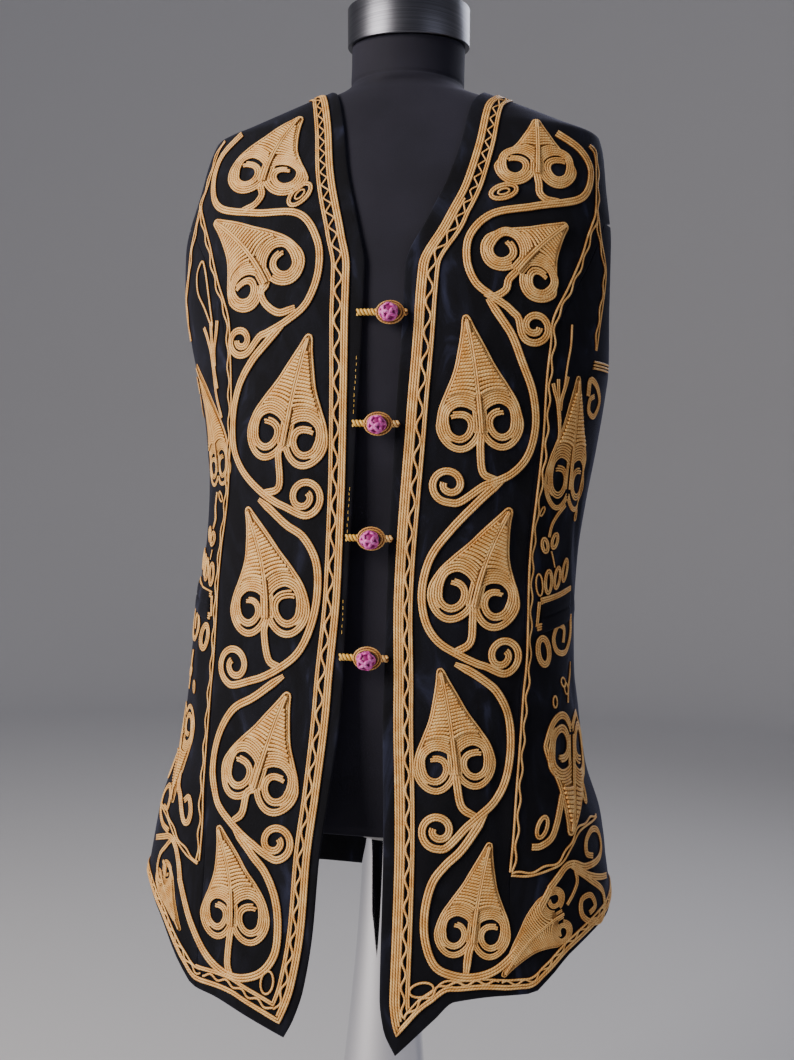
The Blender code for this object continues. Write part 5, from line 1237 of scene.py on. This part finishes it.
# Small motifs of the gores, worked in one to three cords: points, cords, radius, closed
goreMotifs = {
    "left": (
        ((0.1657, 1.0080), (0.1654, 0.9909), (0.1628, 0.9738), (0.1605, 0.9560), (0.1560, 0.9420)), 1, 0.0011, False,
        ((0.1488, 0.9570), (0.1510, 0.9500), (0.1545, 0.9400), (0.1570, 0.9186), (0.1560, 0.9050)), 2, 0.0010, False,
        ((0.1540, 0.9610), (0.1545, 0.9520), (0.1555, 0.9400), (0.1575, 0.9250)), 2, 0.0009, False,
        ((0.1640, 0.9640), (0.1620, 0.9560), (0.1585, 0.9450), (0.1575, 0.9350)), 2, 0.0009, False,
        ((0.1957, 0.9800), (0.2110, 0.9803), (0.2290, 0.9808)), 1, 0.0011, False,
        ((0.1952, 0.9772), (0.2110, 0.9775), (0.2290, 0.9780)), 1, 0.0011, False,
        ((0.1952, 0.9745), (0.2110, 0.9748), (0.2290, 0.9753)), 1, 0.0011, False,
        ((0.1705, 0.8552), (0.1613, 0.8463), (0.1554, 0.8375), (0.1530, 0.8270)), 2, 0.0010, False,
        ((0.1563, 0.8150), (0.1590, 0.8090), (0.1621, 0.8010)), 1, 0.0010, False,
        ((0.1465, 0.7720), (0.1645, 0.7755), (0.1780, 0.7790), (0.1913, 0.7824)), 3, 0.0011, False,
        ((0.1448, 0.7715), (0.1440, 0.7610), (0.1428, 0.7500)), 2, 0.0010, False,
        ((0.1430, 0.7495), (0.1600, 0.7525), (0.1760, 0.7555), (0.1915, 0.7590)), 3, 0.0011, False,
        ((0.2002, 0.7163), (0.1960, 0.7070), (0.1915, 0.6950), (0.1900, 0.6820)), 2, 0.0010, False,
        ((0.1735, 0.6070), (0.1690, 0.5950), (0.1650, 0.5850), (0.1590, 0.5745), (0.1483, 0.5691), (0.1402, 0.5691)),
        3, 0.0012, False,
        ((0.1570, 0.5340), (0.1660, 0.5425), (0.1750, 0.5500), (0.1850, 0.5505), (0.1995, 0.5458), (0.2231, 0.5475),
         (0.2340, 0.5556), (0.2302, 0.5680), (0.2150, 0.5730), (0.2030, 0.5670), (0.2020, 0.5560), (0.2120, 0.5520)),
        3, 0.0011, False,
        ((0.1818, 0.5500), (0.2005, 0.5393), (0.2200, 0.5330), (0.2438, 0.5285)), 3, 0.0011, False,
        ((0.1861, 0.5460), (0.2070, 0.5329), (0.2256, 0.5206), (0.2280, 0.5081), (0.2190, 0.4985), (0.2040, 0.5000),
         (0.1930, 0.5080), (0.1930, 0.5200), (0.2050, 0.5215), (0.2110, 0.5120), (0.2030, 0.5075)), 3, 0.0010, False,
        ((0.1842, 0.5487), (0.1878, 0.5365), (0.1830, 0.5270), (0.1760, 0.5190)), 2, 0.0010, False,
        ((0.1905, 0.9500), (0.1925, 0.9641), (0.2050, 0.9590), (0.2130, 0.9470), (0.2040, 0.9340), (0.1940, 0.9370),
         (0.1940, 0.9470), (0.2010, 0.9510)), 3, 0.0010, False,
        ((0.1950, 0.7590), (0.1960, 0.7420), (0.1850, 0.7270), (0.1700, 0.7280), (0.1640, 0.7390), (0.1700, 0.7500),
         (0.1810, 0.7470), (0.1800, 0.7350)), 3, 0.0010, False,
    ),
    "right": (
        ((-0.1798, 1.0673), (-0.1870, 1.0561), (-0.1849, 1.0392), (-0.1746, 1.0240), (-0.1640, 1.0060),
         (-0.1665, 1.0250), (-0.1705, 1.0444), (-0.1750, 1.0600)), 1, 0.0012, True,
        ((-0.1765, 1.0068), (-0.1725, 0.9990), (-0.1675, 0.9850), (-0.1655, 0.9687), (-0.1630, 0.9465),
         (-0.1560, 0.9260)), 2, 0.0011, False,
        ((-0.1660, 1.0110), (-0.1655, 0.9990), (-0.1650, 0.9860), (-0.1640, 0.9687), (-0.1610, 0.9520)), 2, 0.0011, False,
        ((-0.1570, 1.0110), (-0.1590, 0.9990), (-0.1625, 0.9860), (-0.1630, 0.9720)), 2, 0.0011, False,
        ((-0.1650, 0.8600), (-0.1670, 0.8480), (-0.1650, 0.8370), (-0.1690, 0.8270)), 2, 0.0010, False,
        ((-0.1690, 0.8080), (-0.1720, 0.7990)), 1, 0.0010, False,
        ((-0.1645, 0.7680), (-0.1780, 0.7710), (-0.1930, 0.7750), (-0.2080, 0.7800)), 3, 0.0011, False,
        ((-0.1640, 0.7670), (-0.1635, 0.7580), (-0.1630, 0.7490)), 2, 0.0010, False,
        ((-0.1640, 0.7485), (-0.1800, 0.7515), (-0.1950, 0.7545), (-0.2100, 0.7580)), 3, 0.0011, False,
        ((-0.1960, 0.7160), (-0.1990, 0.7050), (-0.2010, 0.6930), (-0.2040, 0.6800)), 2, 0.0010, False,
        ((-0.1960, 0.6080), (-0.1930, 0.5960), (-0.1860, 0.5880), (-0.1770, 0.5700), (-0.1700, 0.5700),
         (-0.1680, 0.5800), (-0.1730, 0.5900), (-0.1790, 0.5860)), 3, 0.0011, False,
        ((-0.1750, 0.5200), (-0.1790, 0.5340), (-0.1860, 0.5470), (-0.1960, 0.5520), (-0.2100, 0.5490),
         (-0.2280, 0.5440)), 3, 0.0011, False,
        ((-0.1990, 0.5560), (-0.2150, 0.5600), (-0.2270, 0.5700), (-0.2260, 0.5840), (-0.2150, 0.5920),
         (-0.2060, 0.5850), (-0.2080, 0.5740), (-0.2170, 0.5740)), 3, 0.0010, False,
        ((-0.1930, 0.5500), (-0.2020, 0.5420), (-0.2120, 0.5330), (-0.2150, 0.5200), (-0.2080, 0.5110),
         (-0.2000, 0.5150), (-0.1990, 0.5250), (-0.2050, 0.5290)), 2, 0.0011, False,
        ((-0.2130, 0.9530), (-0.2180, 0.9660), (-0.2300, 0.9600), (-0.2380, 0.9470), (-0.2290, 0.9340),
         (-0.2190, 0.9370), (-0.2190, 0.9470), (-0.2260, 0.9510)), 3, 0.0010, False,
        ((-0.2110, 0.7590), (-0.2120, 0.7420), (-0.2010, 0.7270), (-0.1880, 0.7290), (-0.1830, 0.7400),
         (-0.1890, 0.7490), (-0.1990, 0.7460), (-0.1980, 0.7350)), 3, 0.0010, False,
    ),
}
# Loops of one or two cords: middle, half width, half height, lean, cords
goreLoops = {
    "left": (
        (0.1485, 0.8200), 0.0040, 0.0068, 0.30, 2, (0.1600, 0.8240), 0.0042, 0.0072, -0.30, 2,
        (0.1440, 0.7860), 0.0036, 0.0095, 0.15, 1, (0.1545, 0.7885), 0.0048, 0.0105, 0.0, 2,
        (0.1660, 0.7920), 0.0046, 0.0100, -0.15, 2, (0.1775, 0.7985), 0.0045, 0.0105, -0.2, 2,
        (0.1515, 0.7290), 0.0085, 0.0135, 0.25, 3, (0.1865, 0.6945), 0.0034, 0.0052, 0.4, 1,
        (0.1810, 0.7005), 0.0032, 0.0050, 0.8, 1, (0.1674, 0.6850), 0.0028, 0.0050, 0.1, 1,
        (0.2097, 0.6056), 0.0042, 0.0110, 0.1, 2, (0.1500, 0.5840), 0.0055, 0.0095, -0.45, 2,
        (0.1435, 0.8490), 0.0018, 0.0045, -0.5, 1, (0.1900, 0.8470), 0.0022, 0.0050, -0.3, 1,
    ),
    "right": (
        (-0.1690, 0.8180), 0.0040, 0.0068, -0.30, 2, (-0.1790, 0.8220), 0.0042, 0.0072, 0.30, 2,
        (-0.1680, 0.7860), 0.0042, 0.0105, 0.0, 2, (-0.1775, 0.7900), 0.0044, 0.0105, 0.0, 2,
        (-0.1880, 0.7940), 0.0044, 0.0100, 0.15, 2, (-0.1985, 0.7990), 0.0044, 0.0100, 0.2, 2,
        (-0.1715, 0.7300), 0.0075, 0.0125, -0.2, 3, (-0.2000, 0.6960), 0.0034, 0.0050, -0.4, 1,
        (-0.1850, 0.6840), 0.0030, 0.0055, 0.1, 1, (-0.2300, 0.6060), 0.0042, 0.0110, -0.1, 2,
        (-0.1570, 0.8560), 0.0020, 0.0050, 0.4, 1,
    ),
}


def ovalPath(middle, wide, high, lean):
    turn = np.linspace(0, math.tau, 13)[:-1]
    x, y = wide * np.cos(turn), high * np.sin(turn)
    c, s = math.cos(lean), math.sin(lean)
    return np.stack([middle[0] + x * c - y * s, middle[1] + x * s + y * c], 1)


def ovalRuns(middle, wide, high, lean, cords, radius):
    runs = []
    for k in range(cords):
        inset = 2 * radius * k
        line = smoothPath(ovalPath(middle, max(wide - inset, 0.0011), max(high - inset, 0.0016), lean), 0.0018, True)
        runs.append(laid(line[:-1], radius, 0.0001, True))
    return runs


for side in (left, right):
    runs = []
    given = goreMotifs[side.name]
    for points, cords, radius, closed in zip(given[::4], given[1::4], given[2::4], given[3::4]):
        path = smoothPath(points, 0.002, closed)
        if closed:
            runs.append(laid(path[:-1], radius, 0.0001, True))
        else:
            runs += cordBand(path, radius, cords, 0.8, 0.0001)
    given = goreLoops[side.name]
    for loop in zip(given[::5], given[1::5], given[2::5], given[3::5], given[4::5]):
        runs += ovalRuns(*loop, 0.0010)
    sweepCords("small_motifs_" + side.name, runs, fineGold)
# Ovals between the leaves, wound from the outside in
ovals = {"left": (((0.0985, 1.1195), 0.0125, 0.0070, 0.35, 2), ((0.0505, 0.4575), 0.0100, 0.0055, 0.25, 1)),
         "right": (((-0.0785, 1.1190), 0.0132, 0.0078, 0.80, 2), ((-0.0790, 0.4520), 0.0055, 0.0095, -0.15, 1))}
for side in (left, right):
    runs = []
    for middle, wide, high, lean, cords in ovals[side.name]:
        runs += ovalRuns(middle, wide, high, lean, cords, 0.0011)
        if cords > 1:
            runs += ovalRuns(middle, wide * 0.42, high * 0.36, lean, 1, 0.0010)
    sweepCords("ovals_" + side.name, runs, goldCord)

# Welt pockets: a velvet lip over the slit
pocketLip = {"wide": 0.046, "deep": 0.026, "slope": math.radians(12), "lift": 0.0009, "height": 0.0016}
for name, way, height, lean in (("pocket_left", 0.170, 0.762, 1), ("pocket_right", -0.190, 0.762, -1)):
    u = np.linspace(-1, 1, 24)
    v = np.array([-1, -0.97, -0.9, -0.5, -0.12, 0.0, 0.12, 0.5, 0.9, 0.97, 1])
    rise = np.array([0, 0.5, 0.8, 1.0, 0.9, 0.15, 0.9, 1.0, 0.8, 0.5, 0])
    x = np.repeat(u[None], len(v), 0) * pocketLip["wide"] / 2
    y = np.repeat(v[:, None], len(u), 1) * pocketLip["deep"] / 2 + x * math.sin(pocketLip["slope"]) * lean
    path = np.stack([way + x.ravel(), height + y.ravel()], 1)
    lift = pocketLip["lift"] + pocketLip["height"] * np.repeat(rise, len(u)) * np.tile(np.clip((1 - u * u) * 12, 0, 1), len(v))
    top, under = onCloth(path, lift)[0], onCloth(path, 0.0003)[0]
    faces = outwardFaces(top, gridFaces(len(v), len(u)))
    newPiece("welt_" + name, np.vstack([top, under]), wallFaces(faces, len(top)), velvet, [name])
print("gores ready")

# Buttons and loops
button = {"radius": 0.0085, "cord": 0.0017, "lift": 0.0004, "loopCord": 0.0014, "ring": (0.0110, 0.0092)}
buttons = (("1", 0.008, 1.010, -0.0200, 0.0220), ("2", 0.000, 0.917, -0.0215, 0.0175),
           ("3", -0.004, 0.821, -0.0255, 0.0135), ("4", -0.004, 0.721, -0.0275, 0.0130))
for number, x, height, start, end in buttons:
    seat = math.sqrt((button["radius"] + button["loopCord"] + 0.0006) ** 2 - 0.0048 ** 2)
    flush = -float(frontDepth(height)) - button["lift"] - button["loopCord"]
    middle = np.array([x, flush - seat, height])
    # a knot of one cord that winds over and under itself on a ball
    t = np.linspace(0, math.tau, 420, endpoint=False)
    azimuth, rise = 4 * t, 0.98 * np.sin(5 * t)
    r = button["radius"] - button["cord"] - 0.0002 + 0.00035 * np.cos(20 * t + 0.6)
    normals = np.stack([np.cos(rise) * np.cos(azimuth), np.cos(rise) * np.sin(azimuth), np.sin(rise)], 1)
    lean = Matrix.Rotation(math.radians(62), 3, "X") @ Matrix.Rotation(0.7 * int(number), 3, "Z")
    normals = normals @ np.array(lean).T
    runs = [(middle + normals * r[:, None], normals, button["cord"], True)]
    core = [(math.cos(a) * 0.0062, math.sin(a) * 0.0062) for a in np.linspace(-quarter, quarter, 14)]
    sweepCords("knot_" + number, runs, magentaCord, ["button_" + number], sides=8, flatness=0.9)
    points, sides = [], 24
    for radius, h in core[1:-1]:
        ring = tilted(radius, 0, sides, 0.0)
        ring[:, 2] = h
        points.append(ring + middle)
    newPiece("knot_core_" + number, np.vstack(points), tubeFaces(len(points), sides), magentaCord)
    # loop: a ring round the ball and a twisted tail to each front
    wide, high = button["ring"]
    turn = np.linspace(0, math.tau, 48, endpoint=False)
    ring = np.stack([x + wide * np.cos(turn), np.full(48, flush - 0.0016), height + high * np.sin(turn) * 0.95 + 0.0012], 1)
    normals = np.stack([np.cos(turn), np.zeros(48), np.sin(turn)], 1)
    runs = [(ring, normals, 0.0013, True)]
    inner = ring.copy()
    inner[:, 0] = x + (wide - 0.0020) * np.cos(turn)
    inner[:, 2] = height + (high - 0.0020) * np.sin(turn) * 0.95 + 0.0012
    inner[:, 1] -= 0.0012
    runs.append((inner, normals, 0.0011, True))
    sweepCords("loop_ring_" + number, runs, fineGold, sides=8, flatness=1.0)
    for tail, (a, b), dye in (("right", (start, x - wide + 0.0015), yellowCord), ("left", (x + wide - 0.0015, end), fineGold)):
        along = np.linspace(0, 1, 34)
        runs = []
        for strand in (0, math.pi):
            wind = along * abs(b - a) / 0.0062 * math.tau + strand
            px = a + (b - a) * along
            pz = height + 0.0015 + 0.0017 * np.cos(wind)
            py = np.full(34, flush - 0.0004) - 0.0010 * np.sin(wind)
            spread = np.stack([np.zeros(34), -np.sin(wind), np.cos(wind)], 1)
            runs.append((np.stack([px, py, pz], 1), spread, 0.0014, False))
        sweepCords(f"loop_tail_{tail}_{number}", runs, dye,
                   ["loop_" + number] if tail == "right" else (), sides=8, flatness=1.0)
print("buttons ready")

# Studio: a pale floor that rises all round like a dish, soft light from the wearer's right
studio = {"floor": "#c9c9cc", "key": 96.0, "fill": 6.0, "rim": 16.0, "world": 0.46}
floorMaterial, tree, shader = newMaterial("palePaperSweep", studio["floor"], 0.85)
dish = [(0.4, 0.0), (2.0, 0.0), (4.2, 0.0)] + [(4.2 + 1.6 * math.sin(a), 1.6 - 1.6 * math.cos(a))
                                              for a in np.linspace(0.1, quarter, 12)] + [(5.8, 7.0)]
spokes = np.linspace(0, math.tau, 64, endpoint=False)
points = [(0, 0, -0.0015)] + [(r * math.cos(a), r * math.sin(a), z - 0.0015) for r, z in dish for a in spokes]
faces = [(0, 1 + k, 1 + (k + 1) % 64) for k in range(64)]
faces += [(1 + i * 64 + k, 1 + (i + 1) * 64 + k, 1 + (i + 1) * 64 + (k + 1) % 64, 1 + i * 64 + (k + 1) % 64)
          for i in range(len(dish) - 1) for k in range(64)]
mesh = bpy.data.meshes.new("floor_sweep")
mesh.from_pydata(points, [], faces)
mesh.materials.append(floorMaterial)
mesh.shade_smooth()
floor = bpy.data.objects.new("floor_sweep", mesh)
bpy.context.scene.collection.objects.link(floor)


def softLight(name, place, target, size, watts, colour):
    lamp = bpy.data.lights.new(name, "AREA")
    lamp.shape = "RECTANGLE"
    lamp.size, lamp.size_y, lamp.energy = size[0], size[1], watts
    lamp.color = linear(colour)[:3]
    thing = bpy.data.objects.new(name, lamp)
    bpy.context.scene.collection.objects.link(thing)
    thing.location = place
    way = np.array(target, float) - np.array(place, float)
    thing.rotation_euler = (math.atan2(math.hypot(way[0], way[1]), -way[2]), 0, math.atan2(way[1], way[0]) - quarter)
    return thing


softLight("key", (-1.75, -1.5, 1.75), (0, 0, 0.85), (1.2, 1.6), studio["key"], "#fff6ea")
softLight("fill", (1.9, -1.3, 1.1), (0, 0, 0.8), (1.4, 1.6), studio["fill"], "#eef0ff")
softLight("rim", (0.9, 1.6, 2.2), (0, 0, 1.0), (1.2, 1.0), studio["rim"], "#f2f4ff")
world = bpy.data.worlds.new("studio")
bpy.context.scene.world = world
world.use_nodes = True
world.node_tree.nodes["Background"].inputs["Color"].default_value = linear("#d7d9e4")
world.node_tree.nodes["Background"].inputs["Strength"].default_value = studio["world"]
print("studio ready")
